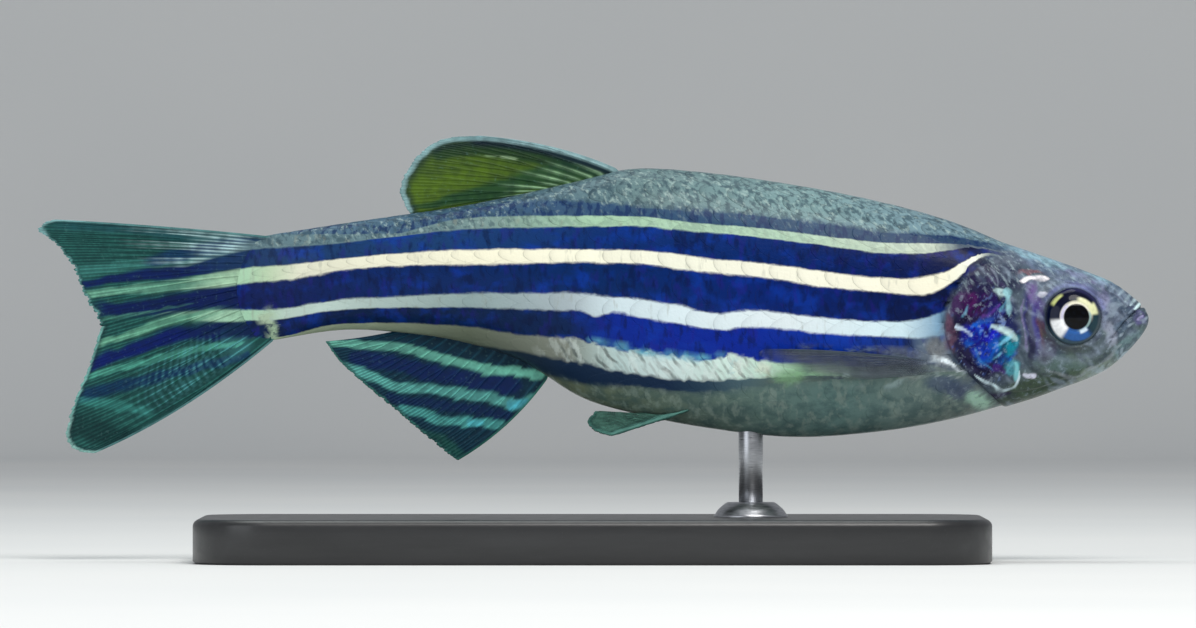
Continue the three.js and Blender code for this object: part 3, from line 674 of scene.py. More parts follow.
def head_tint(x, z):
    """Colour and cover of everything painted over the stripes."""
    head = head_share(x, z)
    wx = x + 0.13 * ripple(x, z, 1.9, 1) + 0.07 * ripple(x, z, 5.0, 2)
    wz = z + 0.13 * ripple(x, z, 1.9, 3) + 0.07 * ripple(x, z, 5.0, 4)
    colour = np.broadcast_to(linear_shade(HEAD_GREY), (*np.shape(x), 3))
    for patch in HEAD_PATCHES:
        colour = lay(colour, patch_amount(wx, wz, patch)[0], patch[5])
    colour = socket_shade_and_rim(colour, x, z)
    colour = head_mottling(colour, x, z, wx, wz)

    sx = x + 0.07 * ripple(x, z, 2.6, 11)
    sz = z + 0.07 * ripple(x, z, 2.6, 12)
    for streak in HEAD_STREAKS:
        colour = lay(colour, streak_amount(sx, sz, streak)[0], streak[2])
    cover = head
    marks = [(*patch_amount(wx, wz, patch), patch[5]) for patch in BODY_PATCHES]
    marks += [(*streak_amount(sx, sz, streak), streak[2]) for streak in BODY_STREAKS]
    for amount, near, shade in marks:
        amount = amount * (1 - head)
        bare = near & (head < 0.02) & (cover < 0.02)
        colour = np.where(bare[..., None], linear_shade(shade), colour)
        colour = lay(colour, amount, shade)
        cover = np.maximum(cover, amount)
    return np.concatenate([colour, cover[..., None]], axis=-1)


def flesh_values(points):
    """What the skin's and the scales' material reads at each point."""
    x, z = points[..., 0].ravel(), points[..., 2].ravel()
    return {"stripe": stripe_value(x, z), "along": x, "height": z, "tint": head_tint(x, z)}


def unwrap(x, turn):
    """Place on the unwrapped skin: along the body and round it, with the seam under the belly."""
    return np.stack([0.02 + 0.96 * (x - TAIL_ROOT) / (SNOUT_X - TAIL_ROOT), 0.03 + 0.94 * turn], axis=-1)


# Node materials


class Tree:
    """A material's nodes, made by short calls."""

    def __init__(self, name, **sockets):
        self.material = bpy.data.materials.new(name)
        self.material.use_nodes = True
        self.nodes = self.material.node_tree.nodes
        self.links = self.material.node_tree.links
        self.shader = next(n for n in self.nodes if n.type == "BSDF_PRINCIPLED")
        for key, value in sockets.items():
            self.shader.inputs[key.replace("_", " ")].default_value = value

    def put(self, value, socket):
        """Links an output, or sets a plain value."""
        if isinstance(value, bpy.types.NodeSocket):
            self.links.new(value, socket)
        elif value is not None:
            socket.default_value = value

    def add(self, kind, *values, **settings):
        node = self.nodes.new("ShaderNode" + kind)
        for key, value in settings.items():
            setattr(node, key, value)
        for socket, value in zip([s for s in node.inputs if s.enabled], values):
            self.put(value, socket)
        return next(s for s in node.outputs if s.enabled)

    def attribute(self, name, output=2):
        node = self.nodes.new("ShaderNodeAttribute")
        node.attribute_name = name
        return node.outputs[output]

    def colour(self, name):
        return self.attribute(name, 0)

    def cover(self, name):
        return self.attribute(name, 3)

    def math(self, operation, a, b=0.0, c=0.0, clamp=False):
        node = self.nodes.new("ShaderNodeMath")
        node.operation = operation
        node.use_clamp = clamp
        for socket, value in zip(node.inputs, (a, b, c)):
            self.put(value, socket)
        return node.outputs[0]

    def scaled(self, value, factor, offset=0.0):
        """A value times a factor, plus an offset."""
        return self.math("MULTIPLY_ADD", value, factor, offset)

    def product(self, *values):
        total = values[0]
        for value in values[1:]:
            total = self.math("MULTIPLY", total, value)
        return total

    def step(self, value, low, high):
        """A smooth step from 0 at low to 1 at high, which may lie below low."""
        return self.add("MapRange", value, low, high, 0.0, 1.0, interpolation_type="SMOOTHSTEP")

    def between(self, value, low, high, soft=0.1):
        """1 where a value lies between two others, with soft ends."""
        rise = self.step(value, low - soft, low + soft)
        fall = self.step(value, high - soft, high + soft)
        return self.math("SUBTRACT", rise, fall, clamp=True)

    def zones(self, stripe, *numbers):
        """1 inside any of the zones with these numbers."""
        total = 0.0
        for number in numbers:
            total = self.math("ADD", self.between(stripe, number, number + 1), total, clamp=True)
        return total

    def mix(self, share, a, b, blend="MIX"):
        node = self.nodes.new("ShaderNodeMix")
        node.data_type = "RGBA"
        node.blend_type = blend
        self.put(share, node.inputs[0])
        self.put(a, node.inputs[6])
        self.put(b, node.inputs[7])
        return node.outputs[2]

    def lay(self, colour, shade, *cover):
        """A shade painted over a colour, as far as the product of its cover's values."""
        return self.mix(self.product(*cover), colour, rgb(*shade))

    def mottle(self, colour, layers, *cover):
        """Soft noise laid over a colour. A layer is its strength, its shade, its noise, and its step."""
        for strength, shade, noise, step in layers:
            colour = self.lay(colour, shade, *cover, self.step(self.noise(*noise), *step), strength)
        return colour

    def ramp(self, value, stops):
        """Colours along a value from 0 to 1."""
        node = self.nodes.new("ShaderNodeValToRGB")
        points = node.color_ramp.elements
        while len(points) < len(stops):
            points.new(0.5)
        for point, (place, shade) in zip(points, stops):
            point.position = place
            point.color = shade
        self.put(value, node.inputs[0])
        return node.outputs[0]

    def place(self):
        """The place on the object."""
        return self.nodes.new("ShaderNodeTexCoord").outputs["Object"]

    def lean(self):
        """The place leant back, so that upright patterns slant like the rows of scales."""
        turn = math.radians(32)
        return self.add("VectorRotate", self.place(), (0, 0, 0), (0, 1, 0), turn, rotation_type="AXIS_ANGLE")

    def noise(self, scale, detail=2.0, stretch=(1, 1, 1), roughness=0.5, place=None):
        """Soft noise in stretched millimetres, by the place on the object unless another is given."""
        node = self.nodes.new("ShaderNodeTexNoise")
        by_mm = tuple(s / MM for s in stretch)
        vector = self.add("VectorMath", place or self.place(), by_mm, operation="MULTIPLY")
        self.put(vector, node.inputs["Vector"])
        for key, value in (("Scale", scale), ("Detail", detail), ("Roughness", roughness)):
            node.inputs[key].default_value = value
        return node.outputs[0]

    def bump(self, height, strength, distance):
        node = self.nodes.new("ShaderNodeBump")
        node.inputs["Strength"].default_value = strength
        node.inputs["Distance"].default_value = distance * MM
        self.put(height, node.inputs["Height"])
        return node.outputs[0]

    def finish(self, colour, roughness=None, normal=None):
        for key, value in (("Base Color", colour), ("Roughness", roughness), ("Normal", normal)):
            self.put(value, self.shader.inputs[key])
        return self.material


BODY_SPAN = (TAIL_ROOT - 0.6, SNOUT_X)

# Layers of mottling: strength, colour, the noise's values, and where it starts and is full
THIN_BLUE_TICKS = ((0.75, (18, 42, 86), (4.2, 2.0, (1.1, 1.1, 0.3)), (0.46, 0.6)),)
BLUE_CELLS = (
    (0.5, (10, 58, 168), (1.3, 3.0, (0.8, 0.8, 1.2)), (0.46, 0.72)),
    (0.32, (34, 22, 128), (2.2, 3.0, (1.2, 1.2, 0.6)), (0.52, 0.68)),
    (0.55, (2, 16, 54), (3.2, 3.0, (1.2, 1.2, 0.5)), (0.48, 0.68)),
)
LIGHT_MARKS = ((0.36, (146, 150, 136), (3.4, 3.0, (1.3, 1.3, 0.35)), (0.55, 0.75)),)
SILVER_SHEEN = ((0.4, (236, 250, 246), (2.0, 3.0, (1.3, 1.3, 0.6)), (0.5, 0.66)),)
SILVER_DUSK = (
    (0.6, (64, 74, 100), (1.7, 3.0, (0.5, 1.0, 1.3), 0.6), (0.5, 0.64)),
    (0.35, (140, 164, 170), (2.1, 3.0, (0.5, 1.0, 1.3), 0.6), (0.54, 0.68)),
)
BELLY_CLOUDS = (
    (0.6, (66, 92, 94), (1.5, 4.0, (0.8, 0.8, 1.2), 0.6), (0.4, 0.65)),
    (0.5, (146, 164, 154), (2.3, 3.0, (1.2, 1.2, 0.6), 0.6), (0.46, 0.68)),
)
# Slanting folds: strength, colour, fineness and reach of their waver, how close they lie, where a fold
# starts and is full, and the fineness and step of the patches that hold them
SILVER_FOLDS = (
    (0.75, (92, 104, 102), (0.8, 11.0), 10.5, (0.3, 1.0), 1.2, (0.4, 0.58)),
    (0.28, (112, 118, 112), (1.1, 7.0), 17.0, (0.0, 0.9), 1.6, (0.36, 0.6)),
)


def middle_part(tree):
    """1 along the part of the belly line where the silver zone is bright, 0 before and behind it."""
    along = tree.attribute("along")
    return tree.product(tree.step(along, -3.0, -0.5), tree.step(along, 7.8, 6.0))


def stripe_colours(tree):
    """The body's stripes, each zone laid over the one above it from its edge down."""
    start, end = BODY_SPAN
    along = tree.attribute("along")
    share = tree.add("MapRange", along, start, end, 0.0, 1.0)
    stripe = tree.attribute("stripe")
    wander = tree.noise(1.6, 3.0, (0.7, 0.7, 1.4))
    fray = tree.noise(7.0, 2.0, (1.0, 1.0, 1.6))
    teeth = tree.math("SINE", tree.scaled(wander, 14.0, tree.product(along, 8.0)))
    toothed = tree.product(tree.step(stripe, 6.4, 6.8), tree.step(stripe, 8.6, 8.2), middle_part(tree))
    shift = tree.math("ADD", tree.scaled(wander, 0.2, -0.1), tree.scaled(fray, 0.06, -0.03))
    shift = tree.math("ADD", shift, tree.product(toothed, teeth, 0.055))
    stripe = tree.math("ADD", stripe, shift)
    colour = None
    for number, stops in enumerate(ZONE_COLOURS):
        shades = tree.ramp(share, [((x - start) / (end - start), rgb(*shade)) for x, shade in stops])
        soft = 0.14 if number in SOFT_EDGED_ZONES else 0.075
        edge = number - 1
        colour = tree.mix(tree.step(stripe, edge - soft, edge + soft), colour, shades) if number else shades
    return colour, stripe


def silver_zone(tree, colour, stripe):
    """The silver zone above the belly: slanting folds and a sheen in its middle, dusk towards the gills."""
    along = tree.attribute("along")
    slant = tree.scaled(tree.attribute("height"), 0.75, along)
    silver = tree.product(tree.between(stripe, 7, 8), middle_part(tree))
    for strength, shade, (fineness, waver), pace, fold, patch_fineness, patch in SILVER_FOLDS:
        wave = tree.math("SINE", tree.scaled(tree.noise(fineness), waver, tree.product(slant, pace)))
        patches = tree.step(tree.noise(patch_fineness), *patch)
        colour = tree.lay(colour, shade, tree.step(wave, *fold), patches, silver, strength)
    colour = tree.mottle(colour, SILVER_SHEEN, silver)
    front = tree.product(tree.between(stripe, 6.4, 8.9), tree.step(along, 7.6, 9.2))
    return tree.mottle(colour, SILVER_DUSK, front)


def head_colours(tree, dots, glints):
    """The head's own colours, clouded, with the back's dots and painted glints running on over the nape."""
    cloud = tree.noise(4.2, 4.0, (1, 1, 1), 0.66)
    nape = tree.step(tree.attribute("height"), 0.6, 1.8)
    colour = tree.lay(tree.colour("tint"), (34, 38, 58), tree.step(cloud, 0.5, 0.68), 0.36)
    colour = tree.lay(colour, (164, 182, 198), tree.step(cloud, 0.46, 0.3), 0.32)
    colour = tree.lay(colour, (60, 76, 92), nape, dots, 0.45)
    return tree.lay(colour, (176, 198, 204), nape, glints, 0.4)


def flesh_material(name, scaly):
    """Painted skin: stripes behind the gills, the head's patches in front, and fine mottling over both."""
    tree = Tree(name, Coat_Weight=0.06, Coat_Roughness=0.12, Specular_IOR_Level=0.07)
    colour, stripe = stripe_colours(tree)

    # Dark pigment dots and pale painted glints on the back, in slanting rows, and fainter over the thin
    # stripes below it
    back = tree.step(stripe, 0.25, -0.1)
    front = tree.step(tree.attribute("along"), -6.0, 0.0)
    thin = tree.product(tree.step(stripe, 2.0, 1.8), tree.scaled(front, -0.6, 0.9))
    speckled = tree.math("MAXIMUM", back, thin)
    lean = tree.lean()
    dots = tree.step(tree.noise(3.0, 3.0, (1.5, 1.5, 0.7), 0.6, lean), 0.43, 0.62)
    glints = tree.step(tree.noise(3.6, 3.0, (1.5, 1.5, 0.55), 0.6, lean), 0.52, 0.7)
    colour = tree.lay(colour, (50, 72, 84), speckled, dots, 0.74)
    colour = tree.lay(colour, (176, 198, 192), speckled, glints, 0.5)

    # Ticks in the thin blue stripe, cells in the broad blue ones, upright marks in the light ones
    light_zones = tree.zones(stripe, 1, 3, 5)
    colour = tree.mottle(colour, THIN_BLUE_TICKS, tree.between(stripe, 0, 1))
    colour = tree.mottle(colour, BLUE_CELLS, tree.zones(stripe, 2, 4, 6))
    colour = tree.mottle(colour, LIGHT_MARKS, light_zones)
    colour = silver_zone(tree, colour, stripe)
    colour = tree.mottle(colour, BELLY_CLOUDS, tree.step(stripe, 8.7, 9.2))
    colour = tree.mix(tree.cover("tint"), colour, head_colours(tree, dots, glints))

    if scaly:
        shade = tree.scaled(back, 0.3, tree.scaled(light_zones, 0.12, 0.06))
        colour = tree.lay(colour, (20, 30, 46), tree.attribute("rim"), shade)
        plate = tree.scaled(tree.attribute("plate"), 0.08, 0.96)
        colour = tree.mix(1.0, colour, tree.add("CombineColor", plate, plate, plate), "MULTIPLY")
    rough = tree.scaled(tree.noise(6.0, 3.0), 0.25, 0.22)
    return tree.finish(colour, rough, tree.bump(tree.noise(9.0, 3.0), 0.25, 0.05))


# Skin

OPERCLE = {"x": 15.42, "z": -0.6, "reach_x": 1.75, "reach_z": 2.3}
PREOPERCLE = ((17.0, 1.9), (17.2, 0.4), (17.25, -1.2), (17.9, -2.1), (19.2, -2.45))
SUBOPERCLE = ((14.6, -1.35), (15.6, -2.05), (16.9, -2.35))
GILL_RAYS = ((15.6, -2.75), (17.4, -2.95), (19.6, -2.3))
BROW = ((17.6, 1.75), (19.0, 1.75), (20.4, 1.25), (21.3, 0.75))
NOSTRILS = ((21.18, 1.12, 0.13), (20.86, 1.26, 0.16))


def skin_relief(x, z):
    """How far the skin stands out from the plain form of the body, in millimetres."""
    relief = np.zeros(np.shape(x))
    around_eye = np.hypot(x - EYE["x"], z - EYE["z"])
    relief -= 0.42 * (1 - ease(0.93, 1.24, around_eye))
    relief += 0.05 * bell(around_eye - 1.36, 0.12)
    relief -= 0.025 * bell(around_eye - 1.72, 0.07)

    cleft, along = beside(cleft_path, x, z)
    fade = 1 - ease(0.8, 1.0, along)
    relief -= 0.13 * bell(cleft, 0.05) * (1 - ease(0.94, 1.0, along)) * lerp(0.4, 1.0, ease(0.0, 0.2, along))
    relief += 0.05 * bell(np.abs(cleft) - 0.14, 0.08) * fade * lerp(0.3, 1.0, ease(0.05, 0.3, along))
    relief -= 0.03 * bell(np.abs(cleft) - 0.34, 0.06) * fade * ease(0.1, 0.35, along)

    front = beside(slit_path, x, z)[0]
    slit_side = 1 - ease(1.7, 2.5, z)
    relief -= 0.16 * bell(front + 0.05, 0.075) * slit_side
    relief += 0.05 * ease(0.0, 0.2, front) * (1 - ease(1.0, 2.4, front)) * slit_side

    ridge, along = beside(drawn(PREOPERCLE, 30), x, z)
    relief += 0.055 * bell(ridge - 0.08, 0.12) * bell(along - 0.5, 0.5)
    relief -= 0.06 * bell(ridge + 0.1, 0.07) * bell(along - 0.5, 0.5)
    for line, depth in ((SUBOPERCLE, 0.05), (GILL_RAYS, 0.06), (BROW, 0.035)):
        groove, along = beside(drawn(line, 24), x, z)
        relief -= depth * bell(groove, 0.06) * bell(along - 0.5, 0.42)
        relief += 0.5 * depth * bell(groove - 0.16, 0.1) * bell(along - 0.5, 0.42)

    for nx, nz, radius in NOSTRILS:
        away = np.hypot(x - nx, z - nz)
        relief -= 0.14 * bell(away, radius * 0.75)
        relief += 0.035 * bell(away - radius * 1.35, 0.06)
    dome = np.hypot((x - OPERCLE["x"]) / OPERCLE["reach_x"], (z - OPERCLE["z"]) / OPERCLE["reach_z"])
    relief += 0.03 * (1 - ease(0.3, 1.0, dome)) * ease(0, 0.2, front)
    return relief


def tail_end(points):
    """The flesh thins to a rounded, scaly edge where the tail fin grows out of it."""
    x, z = points[..., 0], points[..., 2]
    back, belly, *_ = section(np.maximum(x, TAIL_ROOT))
    share = np.clip(2 * (z - belly) / (back - belly) - 1, -1, 1)
    near = 1 - ease(TAIL_ROOT, TAIL_ROOT + 2.6, x)
    moved = points.copy()
    moved[..., 0] -= 1.0 * near**2 * (1 - share**2)
    moved[..., 1] *= lerp(1.0, 0.2, near**1.5)
    return moved


def build_skin():
    """One skin over head, jaw, gill covers, trunk and tail."""
    trunk = np.concatenate([[TAIL_ROOT], np.arange(TAIL_ROOT + 0.01, CHEEK_START, TRUNK_STEP)])
    cheek = np.arange(CHEEK_START, NOSE_START, CHEEK_STEP)
    nose = NOSE_START + (SNOUT_X - NOSE_START) * np.sin(np.linspace(0, math.pi / 2, 48)[:-1])
    rows = np.concatenate([trunk, cheek, nose])
    turns = np.arange(RING_COLUMNS + 1) / RING_COLUMNS
    x, turn = np.meshgrid(rows, turns, indexing="ij")
    points = body_point(x, turn)
    normal = body_normal(x, turn)
    depth = lerp(COAT, BARE_DEPTH, head_share(x, points[..., 2]))
    points = points + normal * (skin_relief(x, points[..., 2]) - depth)[..., None]
    points = tail_end(points)

    tip = np.array([[SNOUT_X - BARE_DEPTH, 0.0, 0.0]])
    root = points[0].mean(axis=0, keepdims=True)
    columns = RING_COLUMNS + 1
    body = grid_faces(len(rows), columns)
    last = (len(rows) - 1) * columns
    count = len(rows) * columns
    ring = np.arange(RING_COLUMNS)
    caps = [(last + j + 1, count, last + j) for j in ring] + [(j, count + 1, j + 1) for j in ring]
    flat = np.concatenate([points.reshape(-1, 3), tip, root])
    uv = np.concatenate([unwrap(x, turn).reshape(-1, 2), [[0.98, 0.5]], [[0.02, 0.5]]])
    piece = add_mesh("skin", to_metres(flat), [tuple(f[::-1]) for f in body] + caps, flesh_values(flat), uv)
    close_seam(piece)
    return piece


def close_seam(piece):
    """Joins the two edges under the belly, which share their places, into one closed skin."""
    mesh = bmesh.new()
    mesh.from_mesh(piece.data)
    bmesh.ops.remove_doubles(mesh, verts=mesh.verts, dist=1e-7)
    bmesh.ops.recalc_face_normals(mesh, faces=mesh.faces)
    mesh.to_mesh(piece.data)
    mesh.free()


# Scales


def scale_centres():
    """Place along the body, share of the way from belly to back, and pitch of each scale on a flank."""
    centres = []
    x = 17.0
    while x > TAIL_ROOT + 0.35:
        pitch = lerp(0.74, 1.12, ease(-13, 3, x))
        for row in range(SCALE_ROWS):
            here = x - (row % 2) * pitch / 2
            share = (row + 0.5) / SCALE_ROWS
            level = body_point(np.array(here), np.array(share / 2))[2]
            past_edge = beside(edge_path, np.array(here), np.array(level))[0] > -0.42 * pitch
            if here >= TAIL_ROOT + 0.3 and not past_edge:
                centres.append((here, share, pitch))
        x -= pitch
    return np.array(centres)


def build_scales(side, name, material):
    """Overlapping plates on one flank, each tucked under the one in front of it."""
    rng = np.random.default_rng(SEED + (side > 0))
    centres = scale_centres()
    count = len(centres)

    across = np.sin(np.linspace(-1, 1, 11) * math.pi / 2)  # close together at the edges, which are thin
    back = 1 - (1 - np.linspace(0, 1, 12)) ** 1.6
    a, b = np.meshgrid(back, across, indexing="ij")
    length = SCALE_LENGTH * centres[:, 2, None, None]
    rear = 1 - 0.36 * np.abs(b) ** 2.3
    x = centres[:, 0, None, None] + length * (0.5 - a * rear)
    width = 1.28 / SCALE_ROWS * (0.86 + 0.14 * np.sin(a * math.pi))
    tilt = rng.uniform(-0.05, 0.05, count)[:, None, None]
    share = centres[:, 1, None, None] + 0.5 * b * width + tilt * (a - 0.5) / SCALE_ROWS
    turn = share / 2 if side > 0 else 1 - share / 2
    x = np.maximum(x, TAIL_ROOT + 0.01)
    points = body_point(x, turn)
    normal = body_normal(x, turn)
    proud = rng.uniform(0.9, 1.1, count)[:, None, None]
    proud = proud * lerp(0.3, 1.0, ease(0.2, 0.6, share))
    lift = (0.004 + 0.015 * a) * proud - 0.003 * b**2 - COAT
    top = points + normal * lift[..., None]
    bottom = points + normal * (lift - SCALE_THICKNESS)[..., None]
    both = tail_end(np.stack([top, bottom], axis=1))

    rim = np.clip(np.maximum(a, np.abs(b) ** 3 * 0.8), 0, 1) ** 12 * lerp(0.2, 1.0, ease(0.2, 0.5, share))
    per_plate = 2 * a.size
    faces = plate_faces(*a.shape)
    if side < 0:
        faces = faces[:, ::-1]
    faces = (faces[None] + per_plate * np.arange(count)[:, None, None]).reshape(-1, 4)
    values = flesh_values(both)
    values["rim"] = np.broadcast_to(rim[:, None], (count, 2, *a.shape)).ravel()
    values["plate"] = np.repeat(rng.uniform(0, 1, count), per_plate)
    uv = np.broadcast_to(unwrap(x, turn)[:, None], (count, 2, *a.shape, 2)).reshape(-1, 2)
    piece = add_mesh(name, to_metres(both), faces, values, uv)
    return dress(piece, material, "flank_scales")


# Fins


ROOT_SHARE = 0.1  # the first part of each ray, which runs inside the flesh
ROOT_DEPTH = 0.6
JOINT_LENGTH = 0.22
BRIGHT_BAND = 260  # bands whose colour adds up to more than this are streaked by the rays
DASH_COLOUR = (92, 168, 176)


def drawn_on(u, start, toward):
    """The first part of each ray, drawn on from its visible start into the flesh."""
    depth = np.clip(1 - u / ROOT_SHARE, 0, 1)[..., None]
    return ROOT_DEPTH * depth * unit(start - toward)


def midline_fin(base, margin, bow_first, bow_last, sink):
    """Middle surface of a fin on the midline, u from its root to its margin and v from its first ray to
    its last. sink tells how the rays' hidden roots lean into the body."""
    edge = path([(x, 0, z) for x, z in margin])

    def place(u, v):
        start = base(v)
        end = edge(v)
        middle = (start + end) / 2
        middle[..., 0] += lerp(bow_first[0], bow_last[0], v)
        middle[..., 2] += lerp(bow_first[1], bow_last[1], v)
        root = drawn_on(u, start, middle - sink(start))
        out = np.clip((u - ROOT_SHARE) / (1 - ROOT_SHARE), 0, 1)[..., None]
        return root + start * (1 - out) ** 2 + middle * 2 * out * (1 - out) + end * out * out

    return place


def straight_down(start):
    return np.array([0, 0, -1.5])


def straight_up(start):
    return np.array([0, 0, 1.5])


def to_spine(start):
    return np.stack([0 * start[..., 0], 0 * start[..., 0], 2.0 * (1.2 - start[..., 2])], axis=-1)


def level_points(x, z):
    return np.stack([x, 0 * x, z], axis=-1)


GAP = 0.08  # how far a fin's first free point stands off the body


def dorsal_base(v):
    x = lerp(0.95, -3.0, v)
    return level_points(x, back_line(x) + lerp(GAP, -GAP, v))


def anal_base(v):
    x = lerp(-1.85, -8.05, v)
    return level_points(x, belly_line(x) - lerp(GAP, -GAP, v))


def tail_base(v):
    """Bases of the tail rays, v from top to bottom, on a curve that is furthest back at the middle."""
    share = 2 * v - 1
    return level_points(-13.7 + 0.75 * np.abs(share) ** 2.5, lerp(3.34, -0.9, v))


dorsal_place = midline_fin(
    dorsal_base,
    [(-4.6, 7.42), (-6.0, 7.3), (-6.95, 6.75), (-7.6, 5.9), (-7.8, 5.1), (-7.4, 4.24)],
    (0.3, 0.44),
    (0, -0.06),
    straight_down,
)
anal_place = midline_fin(
    anal_base,
    [(-5.5, -5.75), (-6.6, -4.85), (-7.9, -3.75), (-9.1, -2.75), (-10.2, -1.75), (-10.85, -0.9)],
    (0.35, -0.4),
    (0, -0.1),
    straight_up,
)
upper_lobe_place = midline_fin(
    lambda v: tail_base(v / 2),
    [(-22.0, 4.05), (-22.56, 3.66), (-21.8, 3.05), (-21.15, 2.2), (-20.8, 1.4), (-20.4, 0.55),
     (-19.95, -0.32)],
    (0.2, 0.12),
    (0, 0.1),
    to_spine,
)
lower_lobe_place = midline_fin(
    lambda v: tail_base(0.5 + v / 2),
    [(-19.95, -0.32), (-20.3, -1.5), (-20.8, -2.8), (-21.25, -4.0), (-21.35, -4.85), (-20.95, -5.32),
     (-20.2, -5.45)],
    (0, 0.1),
    (0, -0.75),
    to_spine,
)


def pectoral_place(side):
    """Surface of a pectoral fin, which lies back along the flank and stands off it toward its tip."""
    edge = path([(6.75, -1.2), (6.7, -1.45), (7.4, -1.85), (8.8, -2.2), (10.6, -2.45)])

    def place(u, v):
        end = edge(v)
        x = lerp(14.1 + 0 * v, end[..., 0], u)
        z = lerp(lerp(-1.75, -2.2, v), end[..., 1], u) + 0.62 * u * (1 - u) * (1 - v)
        clear = -0.5 + 0.62 * ease(0, 0.13, u) + 0.85 * u**1.5
        return np.stack([x, side * (flank(x, z) + clear), z], axis=-1)

    return place


def pelvic_place(side):
    """Surface of a pelvic fin, which hangs back and down from the belly."""
    edge = path([(0.75, 1.95, -4.7), (0.1, 1.6, -4.5), (-0.2, 1.1, -4.15), (0.1, 0.55, -3.74)])

    def place(u, v):
        x = lerp(3.9, 2.7, v)
        y = lerp(1.05, 0.42, v)
        start = np.stack([x, y, underside(x, y) + 0.12], axis=-1)
        points = lerp(start, edge(v), u[..., None])
        points[..., 1] *= side
        return points

    return place


# What a fin looks like where its own look doesn't say otherwise
PLAIN_LOOK = {
    "tips": (),
    "fade_from": 1.0,
    "root_from": (-2.0, -1.0),
    "root_lines": 1,
    "root_width": 0.22,
    "flip": False,
    "edge_width": 0.07,
    "edge_shadow": 0.4,
    "web_cover": 1.0,
    "ray_cover": 1.0,
    "cover_shift": (1.0, 1.0),
    "base_cover": 1.0,
    "margin_fade": 0.0,
}
DORSAL_LOOK = {
    **PLAIN_LOOK,
    "web": (76, 104, 30),
    "ray": (44, 66, 26),
    "bands": (
        (((-7.6, 4.5), (-5.6, 4.85), (-3.6, 5.25), (-2.2, 5.75), (0.6, 6.3)), (0.03, 0.7), (16, 62, 44),
         0.75),
        (((-6.2, 6.7), (-4.6, 6.95), (-3.2, 6.75), (0.6, 6.1)), (0.3, 0.45), (16, 50, 36), 0.75),
        (((-7.2, 5.2), (-5.8, 5.6), (-4.2, 6.0)), (0.6, 0.2), (88, 118, 26), 0.45),
        (((-4.3, 6.62), (-3.9, 6.58)), 0.045, (150, 182, 140), 0.7),
        (((-3.7, 6.56), (-3.1, 6.48)), 0.055, (160, 190, 146), 0.8),
    ),
    "root": (164, 208, 160),
    "root_reach": 0.38,
    "root_cover": 0.8,
    "rim": (146, 184, 188),
    "rim_width": 0.17,
    "inner_rim": (14, 34, 48),
    "edge": (150, 186, 190),
    "edge_width": 0.17,
    "edge_shadow": 0.9,
}
ANAL_LOOK = {
    **PLAIN_LOOK,
    "web": (4, 30, 50),
    "ray": (34, 84, 104),
    "bands": (
        (((-9.6, -1.6), (-7.5, -1.95), (-5.5, -2.4), (-3.2, -2.75)), 0.34, (10, 22, 92), 0.6),
        (((-8.2, -3.2), (-6.0, -3.5), (-3.4, -3.9)), 0.2, (10, 24, 84), 0.5),
        (((-10.9, -0.92), (-8.6, -1.07), (-6.5, -1.49), (-4.4, -2.0), (-3.25, -2.1), (-2.1, -2.23)), 0.19,
         (122, 206, 182), 0.95),
        (((-10.1, -1.95), (-8.6, -2.46), (-7.9, -2.74), (-6.7, -2.78), (-5.8, -2.97), (-4.4, -3.15),
          (-3.0, -3.43), (-2.45, -3.2)), 0.21, (110, 200, 188), 0.95),
        (((-7.7, -3.63), (-6.7, -3.9), (-5.8, -4.13), (-4.8, -4.18), (-3.7, -4.23)), 0.2, (92, 186, 178),
         0.95),
        (((-6.8, -4.75), (-6.0, -5.1), (-5.4, -5.6)), 0.3, (30, 84, 72), 0.7),
        (((-4.9, -4.2), (-4.55, -4.2)), 0.18, (90, 205, 225), 0.7),
        (((-3.3, -3.45), (-2.7, -3.35)), 0.18, (70, 190, 225), 0.7),
    ),
    "rim": (58, 120, 110),
    "rim_width": 0.045,
    "inner_rim": (8, 36, 50),
    "edge": (52, 112, 100),
}
